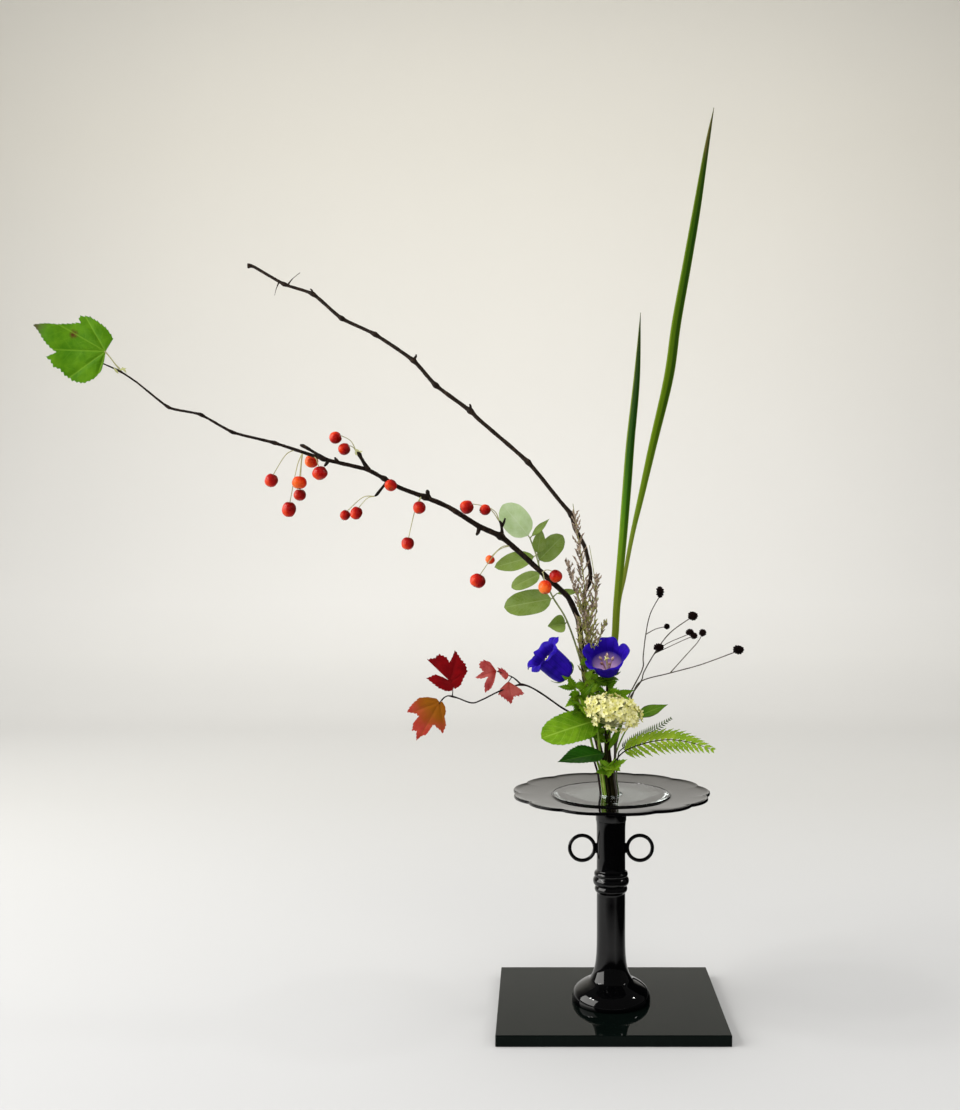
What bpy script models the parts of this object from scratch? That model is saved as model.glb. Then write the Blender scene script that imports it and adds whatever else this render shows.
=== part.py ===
"""Ikebana arrangement: cut branches, leaves and flowers in a tall black vase on a lacquer board.

The frame has +Z up and +X to the arrangement's right, and the viewer stands at -Y. The origin is
the centre of the board's underside. Lengths are written in millimetres and made metres by MM.
"""
import math

import bmesh
import bpy
from mathutils import Matrix, Vector

MM = 0.001
GAP = 0.3                # clearance between pieces that touch

BOARD_WIDTH = 246.0
BOARD_DEPTH = 202.0
BOARD_THICK = 12.0

VASE_X = 3.0             # the vase stands a little right of the board's centre
FOOT_RADIUS = 43.9
STEM_RADIUS = 16.0
BORE_RADIUS = 12.6
NECK_RADIUS = 14.5
NECK_TOP = 228.0
COLLAR_BOTTOM = 212.0
COLLAR_RADIUS = 17.2
BORE_FLOOR = 60.0

RIM_RADIUS = 110.8
RIM_TOP = 244.6
RIM_EDGE = 2.8
RIM_LOBES = 13
RIM_LOBE_DEPTH = 4.5
RIM_FIRST_NOTCH = math.radians(16.0)
LOBE_START = 84.0        # inside this radius the plate is plainly round
WELL_RADIUS = 64.0
WELL_FLOOR = 233.5
WELL_EDGE = 240.4
WATER_LEVEL = 239.6

RING_OUTER = 16.0
RING_BAR = 2.05
RING_HEIGHT = 181.0

STRAW_BOTTOM = 120.0
STRAW_TOP = 218.0
STEM_FOOT = 206.0        # where the cut stems end, pressed into the straw
MOUTH = 230.0
COLLAR = 262.0           # the stems stand close together up to here
FOOT_CENTRE = (0.8, 0.0)
COLLAR_CENTRE = (-3.0, 0.0)
HOLE_CLEARANCE = 0.2

LEAF_THICK = 0.9
SWORD_THICK = 1.4

# Where each stem stands in the bundle, from the bundle's centre, and its radius there.
SLOTS = {
    "crabapple_branch": (-0.2, 0.2, 3.5),
    "bare_branch": (6.0, 1.6, 2.4),
    "maple_twig": (-8.4, -1.0, 1.2),
    "campanula_stem_left": (-5.3, -1.4, 1.4),
    "campanula_stem_right": (0.2, -5.2, 1.4),
    "grass_plume": (-3.6, -4.9, 1.2),
    "broad_leaf": (-3.0, -7.9, 1.3),
    "dark_leaf": (0.6, -8.6, 1.1),
    "basal_leaf": (4.6, -8.2, 0.8),
    "cream_flower_head": (3.4, -4.6, 1.2),
    "green_fern": (6.4, -3.6, 1.0),
    "dark_fern": (12.0, -1.2, 0.9),
    "burnet_long": (9.0, -1.8, 0.9),
    "burnet_middle": (10.0, 1.0, 0.9),
    "burnet_tall": (9.2, 3.8, 0.9),
    "right_leaf": (8.2, 6.6, 1.0),
    "oval_leaf_twig": (-4.0, 4.2, 1.3),
    "sword_leaf_tall": (3.8, 7.0, 1.9),
    "sword_leaf_short": (0.0, 9.1, 1.9),
}

# Colour, roughness and metallic value of each finish.
FINISHES = {
    "board_lacquer": ((0.006, 0.006, 0.007), 0.10, 0.0),
    "vase_black": ((0.008, 0.008, 0.009), 0.16, 0.0),
    "still_water": ((0.60, 0.66, 0.66), 0.02, 0.0),
    "straw": ((0.52, 0.40, 0.19), 0.80, 0.0),
    "crabapple_bark": ((0.045, 0.026, 0.020), 0.70, 0.0),
    "bare_bark": ((0.055, 0.030, 0.022), 0.72, 0.0),
    "fruit_red": ((0.72, 0.06, 0.02), 0.28, 0.0),
    "fruit_orange": ((0.84, 0.20, 0.03), 0.32, 0.0),
    "tip_leaf_green": ((0.18, 0.40, 0.03), 0.45, 0.0),
    "sword_green": ((0.07, 0.20, 0.03), 0.42, 0.0),
    "sage_green": ((0.26, 0.36, 0.20), 0.60, 0.0),
    "sage_twig": ((0.20, 0.22, 0.10), 0.65, 0.0),
    "maple_red": ((0.38, 0.03, 0.03), 0.50, 0.0),
    "maple_bark": ((0.05, 0.02, 0.02), 0.60, 0.0),
    "bell_violet": ((0.09, 0.03, 0.55), 0.50, 0.0),
    "campanula_green": ((0.20, 0.38, 0.06), 0.50, 0.0),
    "plume_straw": ((0.42, 0.29, 0.22), 0.80, 0.0),
    "burnet_brown": ((0.10, 0.07, 0.06), 0.80, 0.0),
    "cream_floret": ((0.82, 0.80, 0.50), 0.60, 0.0),
    "broad_green": ((0.16, 0.42, 0.04), 0.40, 0.0),
    "dark_green": ((0.04, 0.20, 0.04), 0.42, 0.0),
    "fern_green": ((0.28, 0.50, 0.05), 0.55, 0.0),
    "fern_grey": ((0.12, 0.17, 0.10), 0.65, 0.0),
}

# Half outlines of leaves: distance along the midrib and half width, as parts of the whole.
OVAL = [
    (0.0, 0.05), (0.07, 0.42), (0.2, 0.78), (0.38, 0.98), (0.58, 0.96), (0.78, 0.68), (0.92, 0.34), (1.0, 0.0),
]
OVATE = [
    (0.0, 0.05), (0.06, 0.50), (0.18, 0.88), (0.34, 1.0), (0.54, 0.86), (0.76, 0.48), (0.92, 0.14), (1.0, 0.0),
]
LANCE = [(0.0, 0.10), (0.15, 0.62), (0.36, 1.0), (0.6, 0.84), (0.82, 0.40), (1.0, 0.0)]
MAPLE = [
    (0.0, 0.04), (-0.06, 0.34), (-0.10, 0.66), (0.08, 0.58), (0.22, 0.98), (0.36, 0.92), (0.36, 0.46),
    (0.56, 0.52), (0.62, 0.34), (0.80, 0.28), (1.0, 0.0),
]
FROND = [
    (0.0, 0.03), (0.06, 0.55), (0.10, 0.20), (0.18, 0.90), (0.22, 0.25), (0.32, 1.0), (0.36, 0.25),
    (0.46, 0.92), (0.50, 0.22), (0.60, 0.74), (0.64, 0.18), (0.74, 0.52), (0.78, 0.14), (0.87, 0.28),
    (1.0, 0.0),
]


def remove_everything():
    """Empty the scene before building."""
    for thing in list(bpy.data.objects):
        bpy.data.objects.remove(thing, do_unlink=True)


def new_collection(name):
    group = bpy.data.collections.new(name)
    bpy.context.scene.collection.children.link(group)
    return group


def paint(thing, finish):
    """Give an object its own Principled material."""
    colour, roughness, metallic = FINISHES[finish]
    material = bpy.data.materials.new(thing.name + "_finish")
    material.use_nodes = True
    shader = material.node_tree.nodes["Principled BSDF"]
    shader.inputs["Base Color"].default_value = (*colour, 1.0)
    shader.inputs["Roughness"].default_value = roughness
    shader.inputs["Metallic"].default_value = metallic
    material.diffuse_color = (*colour, 1.0)
    thing.data.materials.clear()
    thing.data.materials.append(material)


def add_object(name, data, group):
    thing = bpy.data.objects.new(name, data)
    group.objects.link(thing)
    return thing


def to_mesh(thing, group):
    """Replace an object by a mesh object of its evaluated, welded shape, at the same place."""
    bpy.context.view_layer.update()
    evaluated = thing.evaluated_get(bpy.context.evaluated_depsgraph_get())
    mesh = bpy.data.meshes.new_from_object(evaluated)
    work = bmesh.new()
    work.from_mesh(mesh)
    bmesh.ops.remove_doubles(work, verts=work.verts, dist=0.000005)
    work.to_mesh(mesh)
    work.free()
    name = thing.name
    place = thing.matrix_world.copy()
    bpy.data.objects.remove(thing, do_unlink=True)
    solid = add_object(name, mesh, group)
    solid.matrix_world = place
    return solid


def round_shading(thing, degrees=40.0):
    thing.data.shade_smooth()
    thing.data.set_sharp_from_angle(angle=math.radians(degrees))


def tube(name, points, radii, group):
    """A round stem through points, with a radius at each point."""
    curve = bpy.data.curves.new(name, "CURVE")
    curve.dimensions = "3D"
    curve.bevel_depth = MM
    curve.bevel_resolution = 2
    curve.use_fill_caps = True
    spline = curve.splines.new("POLY")
    spline.points.add(len(points) - 1)
    for knot, point, radius in zip(spline.points, points, radii):
        knot.co = (point[0] * MM, point[1] * MM, point[2] * MM, 1.0)
        knot.radius = radius
    return to_mesh(add_object(name, curve, group), group)


def ball(name, centre, size, group):
    """An ellipsoid of the given diameters around centre."""
    mesh = bpy.data.meshes.new(name)
    work = bmesh.new()
    bmesh.ops.create_uvsphere(work, u_segments=10, v_segments=7, radius=0.5 * MM)
    bmesh.ops.scale(work, vec=size, verts=work.verts)
    work.to_mesh(mesh)
    work.free()
    thing = add_object(name, mesh, group)
    thing.location = Vector(centre) * MM
    return thing


def fuse(name, solids, group):
    """Boolean union of several solids into one closed body."""
    base = solids[0]
    for number, other in enumerate(solids[1:]):
        joint = base.modifiers.new("join_%d" % number, "BOOLEAN")
        joint.operation = "UNION"
        joint.solver = "EXACT"
        joint.object = other
    base.name = name
    whole = to_mesh(base, group)
    for other in solids[1:]:
        bpy.data.objects.remove(other, do_unlink=True)
    whole.name = name
    return whole


def turned(name, profile, steps, group, closed=False):
    """A turned solid about the vertical axis from (radius, height) points."""
    mesh = bpy.data.meshes.new(name)
    count = len(profile)
    edges = [(i, i + 1) for i in range(count - 1)]
    if closed:
        edges.append((count - 1, 0))
    mesh.from_pydata([(r * MM, 0.0, z * MM) for r, z in profile], edges, [])
    thing = add_object(name, mesh, group)
    screw = thing.modifiers.new("turn", "SCREW")
    screw.steps = steps
    screw.render_steps = steps
    screw.use_merge_vertices = True
    screw.merge_threshold = 0.00001
    screw.use_smooth_shade = True
    return thing


def leaf_frame(base, tip, facing):
    """A matrix with X from base to tip and Z towards the side that the leaf faces."""
    along = (Vector(tip) - Vector(base)).normalized()
    normal = Vector(facing)
    normal = (normal - along * normal.dot(along)).normalized()
    across = normal.cross(along)
    place = Matrix((along, across, normal)).transposed().to_4x4()
    place.translation = Vector(base) * MM
    return place


def flat_outline(name, outline, thick, place, group):
    """A plate of the given thickness from a flat outline in millimetres."""
    curve = bpy.data.curves.new(name, "CURVE")
    curve.dimensions = "2D"
    curve.fill_mode = "BOTH"
    curve.extrude = thick * MM / 2.0
    spline = curve.splines.new("POLY")
    spline.points.add(len(outline) - 1)
    for knot, (x, y) in zip(spline.points, outline):
        knot.co = (x * MM, y * MM, 0.0, 1.0)
    spline.use_cyclic_u = True
    thing = add_object(name, curve, group)
    thing.matrix_world = place
    return to_mesh(thing, group)


def leaf(name, shape, base, tip, width, facing, group):
    """A flat leaf blade from a half outline, mirrored about its midrib."""
    length = (Vector(tip) - Vector(base)).length
    upper = [(t * length, w * width / 2.0) for t, w in shape]
    lower = [(x, -y) for x, y in reversed(upper[:-1])]
    return flat_outline(name, upper + lower, LEAF_THICK, leaf_frame(base, tip, facing), group)


def slot_points(name):
    """The stem's foot, its place at the vase's mouth and at the top of the bundle."""
    x, y, _ = SLOTS[name]
    foot = (FOOT_CENTRE[0] + x, FOOT_CENTRE[1] + y)
    top = (COLLAR_CENTRE[0] + x, COLLAR_CENTRE[1] + y)
    return [(*foot, STEM_FOOT), (*foot, MOUTH), (*top, COLLAR)]


def stem(name, route, end_radius, group, radii=None):
    """A stem from its slot in the bundle along a route, tapering to its end."""
    slot_radius = SLOTS[name][2]
    points = slot_points(name) + route
    if radii is None:
        steps = len(route)
        radii = [slot_radius + (end_radius - slot_radius) * (i + 1) / steps for i in range(steps)]
    return tube(name, points, [slot_radius] * 3 + radii, group)


def board(group):
    """The square-edged lacquer board under the vase."""
    mesh = bpy.data.meshes.new("display_board")
    work = bmesh.new()
    bmesh.ops.create_cube(work, size=1.0)
    bmesh.ops.scale(work, vec=(BOARD_WIDTH * MM, BOARD_DEPTH * MM, BOARD_THICK * MM), verts=work.verts)
    work.to_mesh(mesh)
    work.free()
    thing = add_object("display_board", mesh, group)
    thing.location.z = BOARD_THICK * MM / 2.0
    edge = thing.modifiers.new("edge", "BEVEL")
    edge.width = 0.8 * MM
    edge.segments = 2
    paint(thing, "board_lacquer")


def usubata_body(group):
    """The hollow stem with its knop and bell foot."""
    base = BOARD_THICK + GAP
    profile = [
        (0.0, BORE_FLOOR), (BORE_RADIUS, BORE_FLOOR), (BORE_RADIUS, NECK_TOP), (NECK_RADIUS, NECK_TOP),
        (NECK_RADIUS, COLLAR_BOTTOM - GAP), (STEM_RADIUS + 0.6, COLLAR_BOTTOM - GAP), (STEM_RADIUS, 196.0),
        (STEM_RADIUS, 157.0), (18.6, 155.0), (18.9, 152.0), (18.2, 150.0), (20.0, 148.0), (20.2, 145.0),
        (19.6, 142.0), (18.2, 139.5), (18.8, 137.0), (17.6, 134.5), (16.4, 132.5), (STEM_RADIUS, 70.0),
        (17.0, 56.0), (18.6, 46.0), (21.6, 37.5), (23.6, 35.0), (28.0, 32.4), (34.0, 28.6), (39.2, 24.6),
        (42.6, 20.2), (FOOT_RADIUS, 16.0), (FOOT_RADIUS - 0.4, base), (37.0, base), (35.0, 18.0),
        (24.0, 24.0), (0.0, 28.0),
    ]
    thing = turned("usubata_body", profile, 32, group)
    thing.location.x = VASE_X * MM
    paint(thing, "vase_black")


def rim_factor(angle):
    """How far the lobed rim reaches at an angle, as a part of its full radius."""
    phase = RIM_LOBES * (angle - RIM_FIRST_NOTCH) / 2.0
    return 1.0 - RIM_LOBE_DEPTH / RIM_RADIUS * (1.0 - abs(math.sin(phase)) ** 0.6)


def usubata_plate(group):
    """The scalloped plate with its water well, which sits on the neck."""
    profile = [
        (BORE_RADIUS, NECK_TOP + GAP), (BORE_RADIUS, 229.6), (17.5, 232.8), (23.0, WELL_FLOOR),
        (56.0, WELL_FLOOR), (WELL_RADIUS, WELL_EDGE), (88.0, 241.8), (102.0, 243.0), (RIM_RADIUS, RIM_TOP),
        (RIM_RADIUS, RIM_TOP - RIM_EDGE), (98.0, 239.4), (66.0, 236.6), (57.0, 230.4), (24.0, 229.2),
        (COLLAR_RADIUS, 224.0), (COLLAR_RADIUS, COLLAR_BOTTOM), (NECK_RADIUS + GAP, COLLAR_BOTTOM),
        (NECK_RADIUS + GAP, NECK_TOP + GAP),
    ]
    thing = turned("usubata_plate", profile, RIM_LOBES * 4, group, closed=True)
    thing = to_mesh(thing, group)
    for vertex in thing.data.vertices:
        radius = math.hypot(vertex.co.x, vertex.co.y) / MM
        if radius > LOBE_START:
            share = (radius - LOBE_START) / (RIM_RADIUS - LOBE_START)
            factor = 1.0 - share * (1.0 - rim_factor(math.atan2(vertex.co.y, vertex.co.x)))
            vertex.co.x *= factor
            vertex.co.y *= factor
    round_shading(thing)
    thing.location.x = VASE_X * MM
    paint(thing, "vase_black")


def ring_handle(name, side, group):
    """A fixed ring with the lug that joins it to the stem; side is -1 for left and 1 for right."""
    inner = STEM_RADIUS + GAP
    centre = VASE_X + side * (inner + RING_OUTER)
    bpy.ops.mesh.primitive_torus_add(
        major_segments=24, minor_segments=8,
        major_radius=(RING_OUTER - RING_BAR) * MM, minor_radius=RING_BAR * MM,
        location=(centre * MM, 0.0, RING_HEIGHT * MM), rotation=(math.pi / 2.0, 0.0, 0.0),
    )
    ring = bpy.context.active_object
    lug_length, lug_width, lug_height = 2.6, 5.0, 10.0
    bpy.ops.mesh.primitive_cube_add(
        size=1.0, location=((VASE_X + side * (inner + lug_length / 2.0)) * MM, 0.0, RING_HEIGHT * MM),
        scale=(lug_length * MM, lug_width * MM, lug_height * MM),
    )
    lug = bpy.context.active_object
    whole = fuse(name, [ring, lug], group)
    round_shading(whole)
    paint(whole, "vase_black")


def water(group):
    """The water standing in the plate's well around the stems."""
    profile = [
        (18.5, WATER_LEVEL), (62.4, WATER_LEVEL), (55.4, WELL_FLOOR + GAP), (23.2, WELL_FLOOR + GAP),
        (18.5, WELL_FLOOR + GAP),
    ]
    thing = turned("water", profile, 36, group, closed=True)
    thing.location.x = VASE_X * MM
    paint(thing, "still_water")


def straw_holder(group, cutters):
    """The tight straw bundle in the neck, with a hole for each stem's foot."""
    profile = [
        (0.0, STRAW_TOP), (BORE_RADIUS - GAP - 0.6, STRAW_TOP), (BORE_RADIUS - GAP, STRAW_TOP - 0.6),
        (BORE_RADIUS - GAP, STRAW_BOTTOM), (0.0, STRAW_BOTTOM),
    ]
    thing = turned("straw_holder", profile, 24, group)
    thing.location.x = VASE_X * MM
    mesh = bpy.data.meshes.new("stem_holes")
    work = bmesh.new()
    depth = 40.0
    for x, y, radius in SLOTS.values():
        bore = (radius + HOLE_CLEARANCE) * MM
        middle = Vector((FOOT_CENTRE[0] + x, FOOT_CENTRE[1] + y, STEM_FOOT - GAP + depth / 2.0)) * MM
        bmesh.ops.create_cone(
            work, cap_ends=True, segments=10, radius1=bore, radius2=bore, depth=depth * MM,
            matrix=Matrix.Translation(middle),
        )
    work.to_mesh(mesh)
    work.free()
    holes = add_object("stem_holes", mesh, cutters)
    holes.hide_render = True
    holes.display_type = "WIRE"
    cut = thing.modifiers.new("stem_holes", "BOOLEAN")
    cut.operation = "DIFFERENCE"
    cut.solver = "EXACT"
    cut.object = holes
    paint(thing, "straw")


def vase(group, cutters):
    board(group)
    usubata_body(group)
    usubata_plate(group)
    ring_handle("ring_handle_left", -1.0, group)
    ring_handle("ring_handle_right", 1.0, group)
    water(group)
    straw_holder(group, cutters)


def crabapple_branch(group):
    """The long branch that reaches to the left, with its short fruiting spurs."""
    route = [
        (-7, 0, 280), (-12, -1.5, 300), (-19, -3, 330), (-25, -5, 358), (-31, -6, 416), (-34, -7, 438),
        (-45, -8, 462), (-64, -10, 480), (-99, -14, 512), (-120, -17, 530), (-144, -20, 541), (-177, -24, 562),
        (-203, -27, 573), (-230, -30, 583), (-247, -32, 593), (-266, -34, 603), (-312, -40, 614),
        (-364, -46, 631), (-408, -50, 642), (-442, -54, 661), (-475, -56, 668), (-509, -58, 695),
        (-527, -59, 707), (-545, -58, 715),
    ]
    radii = [3.6, 3.6, 3.6, 3.6, 3.7, 3.8, 3.7, 3.7, 3.6, 3.6, 3.7, 3.4, 3.3, 3.2, 3.2, 3.3]
    radii += [2.8, 2.6, 2.3, 2.2, 2.2, 1.7, 1.5, 1.2]
    solids = [stem("crabapple_branch", route, 1.2, group, radii)]
    spurs = [
        ((-266, -34, 603), (-273, -36, 619), 1.7),
        ((-244, -32, 592), (-254, -36, 576), 1.2),
        ((-312, -40, 614), (-333, -42, 627), 1.3),
        ((-197, -26.5, 571), (-200, -27, 579), 1.6),
        ((-120, -17, 530), (-119, -20, 546), 1.4),
    ]
    for number, (start, end, radius) in enumerate(spurs):
        solids.append(tube("spur_%d" % number, [start, end], [radius * 1.1, radius], group))
    whole = fuse("crabapple_branch", solids, group)
    round_shading(whole, 60.0)
    paint(whole, "crabapple_bark")


def crabapple_cluster(name, spur, fruits, finish, group):
    """Fruits on thin stalks from one spur; each fruit is (centre, diameters, bend points)."""
    solids = []
    for number, (centre, size, bends) in enumerate(fruits):
        route = [spur] + bends + [centre]
        slim = 0.05 * min(number, 1)      # unlike radii keep the stalks' ends from lying face on face
        radii = [0.8 - slim] + [0.7 - slim] * (len(route) - 1)
        solids.append(tube("stalk_%d" % number, route, radii, group))
        solids.append(ball("fruit_%d" % number, centre, size, group))
    whole = fuse(name, solids, group)
    round_shading(whole, 60.0)
    paint(whole, finish)


def crabapples(group):
    upper = [
        ((-276.5, -36.5, 621.5), [((-299, -40, 637), (13, 13, 14), []), ((-290, -36, 625), (13, 13, 14), [])]),
        ((-322, -41, 612.6), [((-327, -29, 612), (15, 15, 14), []), ((-314, -50, 598), (16, 16, 15), [])]),
        ((-240, -35.4, 587), [((-238, -46, 585), (14, 14, 12), [])]),
        ((-147, -21.5, 549), [((-157, -28, 562), (15, 15, 16), []), ((-137, -24, 559), (12, 12, 13), [])]),
        ((-74, -15, 492.5), [((-59, -22, 486), (14, 14, 15), []), ((-71, -30, 474), (15, 15, 16), [])]),
    ]
    three = [
        ((-337, -46, 588), (16, 16, 15), []),
        ((-339, -33, 575), (13, 13, 13), []),
        ((-349, -42, 559), (15, 15, 18), [(-350, -44, 590)]),
    ]
    low_pair = [
        ((-208, -38, 561), (14, 14, 14), []),
        ((-221, -34, 522), (14, 14, 15), [(-212, -35, 546)]),
    ]
    last_pair = [
        ((-132, -12, 504), (11, 11, 10), []),
        ((-145, -26, 481), (17, 17, 16), [(-128, -16, 507), (-138, -24, 492)]),
    ]
    hanging = [
        ((-334, -43, 617), three),
        ((-343, -44.5, 620), [((-366, -52, 590), (14, 14, 15), [(-358, -49, 604)])]),
        ((-257, -37.5, 573.5), [((-276, -42, 555), (12, 12, 15), []), ((-290, -30, 553), (11, 11, 12), [])]),
        ((-207, -31, 569.5), low_pair),
        ((-110, -16, 514), last_pair),
    ]
    for number, (spur, fruits) in enumerate(upper + hanging):
        finish = "fruit_orange" if fruits is last_pair else "fruit_red"
        crabapple_cluster("crabapples_%d" % (number + 1), spur, fruits, finish, group)


def tip_leaf(group):
    """The lobed leaf with its stalk at the end of the crabapple branch."""
    outline = [
        (6, 10), (0, 24), (-15, 35), (-26, 30), (-50, 30), (-75, 28), (-62, 14), (-52, 1), (-61, -5),
        (-52, -15), (-41, -24), (-31, -33), (-21, -33), (-10, -24), (-3, -12), (0, 0),
    ]
    base = (-541, -63, 727)
    place = leaf_frame(base, (base[0] + 70, base[1] + 8, base[2]), (0, -1, 0.1))
    blade = flat_outline("tip_leaf_blade", outline, LEAF_THICK, place, group)
    route = [(-527.6, -60.4, 710), (-534, -62, 719), (-543, -63.2, 728)]
    stalk = tube("tip_leaf_stalk", route, [0.8, 0.7, 0.7], group)
    whole = fuse("tip_leaf", [blade, stalk], group)
    paint(whole, "tip_leaf_green")


def bare_branch(group):
    """The bare branch that rises to the left behind the other."""
    route = [
        (1.5, 2, 280), (-1, 2.5, 300), (-9, 3, 340), (-20, 4, 391), (-27, 6, 455), (-26, 6, 467), (-20, 6, 480),
        (-20, 7, 492), (-26, 8, 518), (-37, 10, 539), (-41, 11, 554), (-55, 13, 571), (-90, 18, 614),
        (-146, 25, 663), (-156, 27, 673), (-196, 32, 703), (-222, 36, 732), (-267, 41, 763), (-306, 45, 782),
        (-340, 49, 811), (-374, 52, 823), (-410, 55, 844), (-417, 55, 845),
    ]
    radii = [2.4, 2.5, 2.6, 2.8, 2.9, 2.9, 2.9, 2.9, 2.9, 2.9, 2.9, 2.8, 2.8, 2.8, 3.0, 2.7, 2.7]
    radii += [2.4, 2.4, 2.3, 2.0, 2.4, 2.2]
    thing = stem("bare_branch", route, 2.2, group, radii)
    round_shading(thing, 60.0)
    paint(thing, "bare_bark")


def sword_leaf(name, spine, tilt, start_y, group):
    """A long blade with its outline in a plane that leans by tilt; spine rows are (x, z, width)."""
    outline = [(x - width / 2.0, z) for x, z, width in spine]
    outline += [(x + width / 2.0, z) for x, z, width in reversed(spine) if width > 0.0]
    flat = [(x, (z - COLLAR) / math.cos(tilt)) for x, z in outline]
    foot = Matrix.Translation(Vector((0.0, start_y, COLLAR)) * MM)
    upright = Matrix.Rotation(math.pi / 2.0 - tilt, 4, "X")
    thing = flat_outline(name, list(reversed(flat)), SWORD_THICK, foot @ upright, group)
    paint(thing, "sword_green")


def sword_leaves(group):
    tall = [
        (4.6, STEM_FOOT, 3.0), (4.6, MOUTH, 3.0), (0.8, COLLAR, 3.0), (1.5, 300, 3.0), (4, 357, 3.2),
        (12, 447, 3.4), (19, 483, 3.6), (28, 531, 4.8), (38, 574, 6.8), (52, 635, 9.2), (70, 711, 11.4),
        (79, 773, 11.4), (92, 844, 10.9), (103, 906, 10.3), (115, 979, 5.9), (123, 1022, 0.0),
    ]
    short = [
        (0.8, STEM_FOOT, 3.0), (0.8, MOUTH, 3.0), (-3.0, COLLAR, 3.0), (-2, 300, 3.4), (0, 346, 4.6),
        (8, 419, 6.0), (10, 454, 6.8), (16, 522, 8.0), (21, 585, 9.6), (25, 637, 9.6), (32, 708, 7.8),
        (36, 780, 0.0),
    ]
    sword_leaf("sword_leaf_tall", tall, 0.0334, 8.6, group)
    sword_leaf("sword_leaf_short", short, -0.020, 8.2, group)


def grass_plume(group):
    """The grass stalk with its two tufts of spikelets, each a plain spindle here."""
    stalk = [(-8.5, -7, 280), (-12, -9.5, 300), (-18, -12, 330), (-21, -13, 348), (-23, -13, 415)]
    stalk.append((-27, -14, 470))
    tall = [(-24, -13, 425), (-27, -14, 470), (-32, -14, 515), (-37, -14, 545), (-40, -14, 566)]
    short = [(-23, -13, 405), (-17, -15, 430), (-14, -16, 455), (-17, -16, 490), (-22, -16, 520)]
    solids = [
        stem("grass_plume", stalk, 0.9, group),
        tube("tall_tuft", tall, [2.0, 6.5, 8.0, 5.0, 0.8], group),
        tube("short_tuft", short, [1.2, 5.0, 6.5, 4.5, 0.8], group),
    ]
    whole = fuse("grass_plume", solids, group)
    round_shading(whole, 60.0)
    paint(whole, "plume_straw")


def oval_leaf_twig(group):
    """The twig that carries the sage-green leaves, and its leaves."""
    route = [
        (-9, 5.5, 280), (-12, 8, 301), (-19, 9.5, 340), (-31, 10, 390), (-46, 14, 434), (-62, 18, 461),
        (-75, 20, 488), (-81, 22, 509), (-88, 22, 528),
    ]
    thing = stem("oval_leaf_twig", route, 0.8, group)
    round_shading(thing, 60.0)
    paint(thing, "sage_twig")
    leaves = [
        ((-90, 22, 531), (-119, 22, 566), 31, (0.1, -1, 0)),
        ((-86, 19.4, 530), (-66, 14, 550), 7, (0, -1, 0.3)),
        ((-79.2, 20, 511), (-75, 22, 540), 15, (0.3, -1, 0)),
        ((-83.5, 25, 507), (-129, 27, 495), 20, (0, -1, 0.3)),
        ((-77.6, 23.5, 503), (-50, 31, 531), 24, (0.2, -1, 0.1)),
        ((-77, 18.5, 487), (-109, 18, 472), 16, (0, -1, 0.4)),
        ((-64, 16, 459), (-117, 13, 450), 27, (0, -1, 0.3)),
        ((-57, 21, 465), (-30, 24, 468), 7, (0, -1, 0.5)),
        ((-48, 11, 431), (-68, 7, 429), 20, (0, -1, 0.2)),
    ]
    for number, (base, tip, width, facing) in enumerate(leaves):
        blade = leaf("oval_leaf_%d" % (number + 1), OVAL, base, tip, width, facing, group)
        paint(blade, "sage_green")


def maple(group):
    """The thin maple twig to the left, and its red leaves."""
    route = [
        (-16, -3.5, 280), (-21, -8, 309), (-34, -15, 328), (-55, -24, 343), (-73, -34, 357), (-87, -40, 366),
        (-97, -43, 369), (-107, -46, 367), (-122, -50, 362), (-139, -54, 354), (-150, -56, 351),
        (-166, -59, 357), (-176, -61, 359), (-182, -62, 354),
    ]
    side = [(-97, -43, 369), (-108, -48, 378), (-122, -52, 385)]
    solids = [stem("maple_twig", route, 0.9, group), tube("maple_side", side, [0.9, 0.8, 0.7], group)]
    whole = fuse("maple_twig", solids, group)
    round_shading(whole, 60.0)
    paint(whole, "maple_bark")
    leaves = [
        ((-171, -62, 362), (-167, -66, 411), 40),
        ((-183, -63.5, 352.5), (-207, -74, 316), 44),
        ((-123.6, -53, 384), (-143, -58, 370), 32),
        ((-108, -48.6, 374), (-110, -56, 351), 25),
        ((-112, -51.6, 382), (-118, -53, 392), 9),
    ]
    for number, (base, tip, width) in enumerate(leaves):
        blade = leaf("maple_leaf_%d" % (number + 1), MAPLE, base, tip, width, (0, -1, 0.1), group)
        paint(blade, "maple_red")


def bell(name, base, mouth, length, radius, group):
    """A bell flower: a thin turned cup from its base towards its mouth."""
    outer = [(0.30, 0.02), (0.46, 0.14), (0.58, 0.32), (0.66, 0.54), (0.76, 0.76), (0.92, 0.92), (1.0, 1.0)]
    wall = 1.1
    inside = [(0.0, wall * 1.5)] + [(r * radius - wall, t * length + wall) for r, t in outer[:-1]]
    inside.append((radius - 0.8, length + 0.4))
    outside = [(r * radius, t * length) for r, t in reversed(outer)] + [(0.0, 0.0)]
    thing = turned(name, inside + outside, 16, group)
    along = (Vector(mouth) - Vector(base)).normalized()
    thing.rotation_mode = "QUATERNION"
    thing.rotation_quaternion = along.to_track_quat("Z", "Y")
    thing.location = Vector(base) * MM
    paint(thing, "bell_violet")


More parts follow.
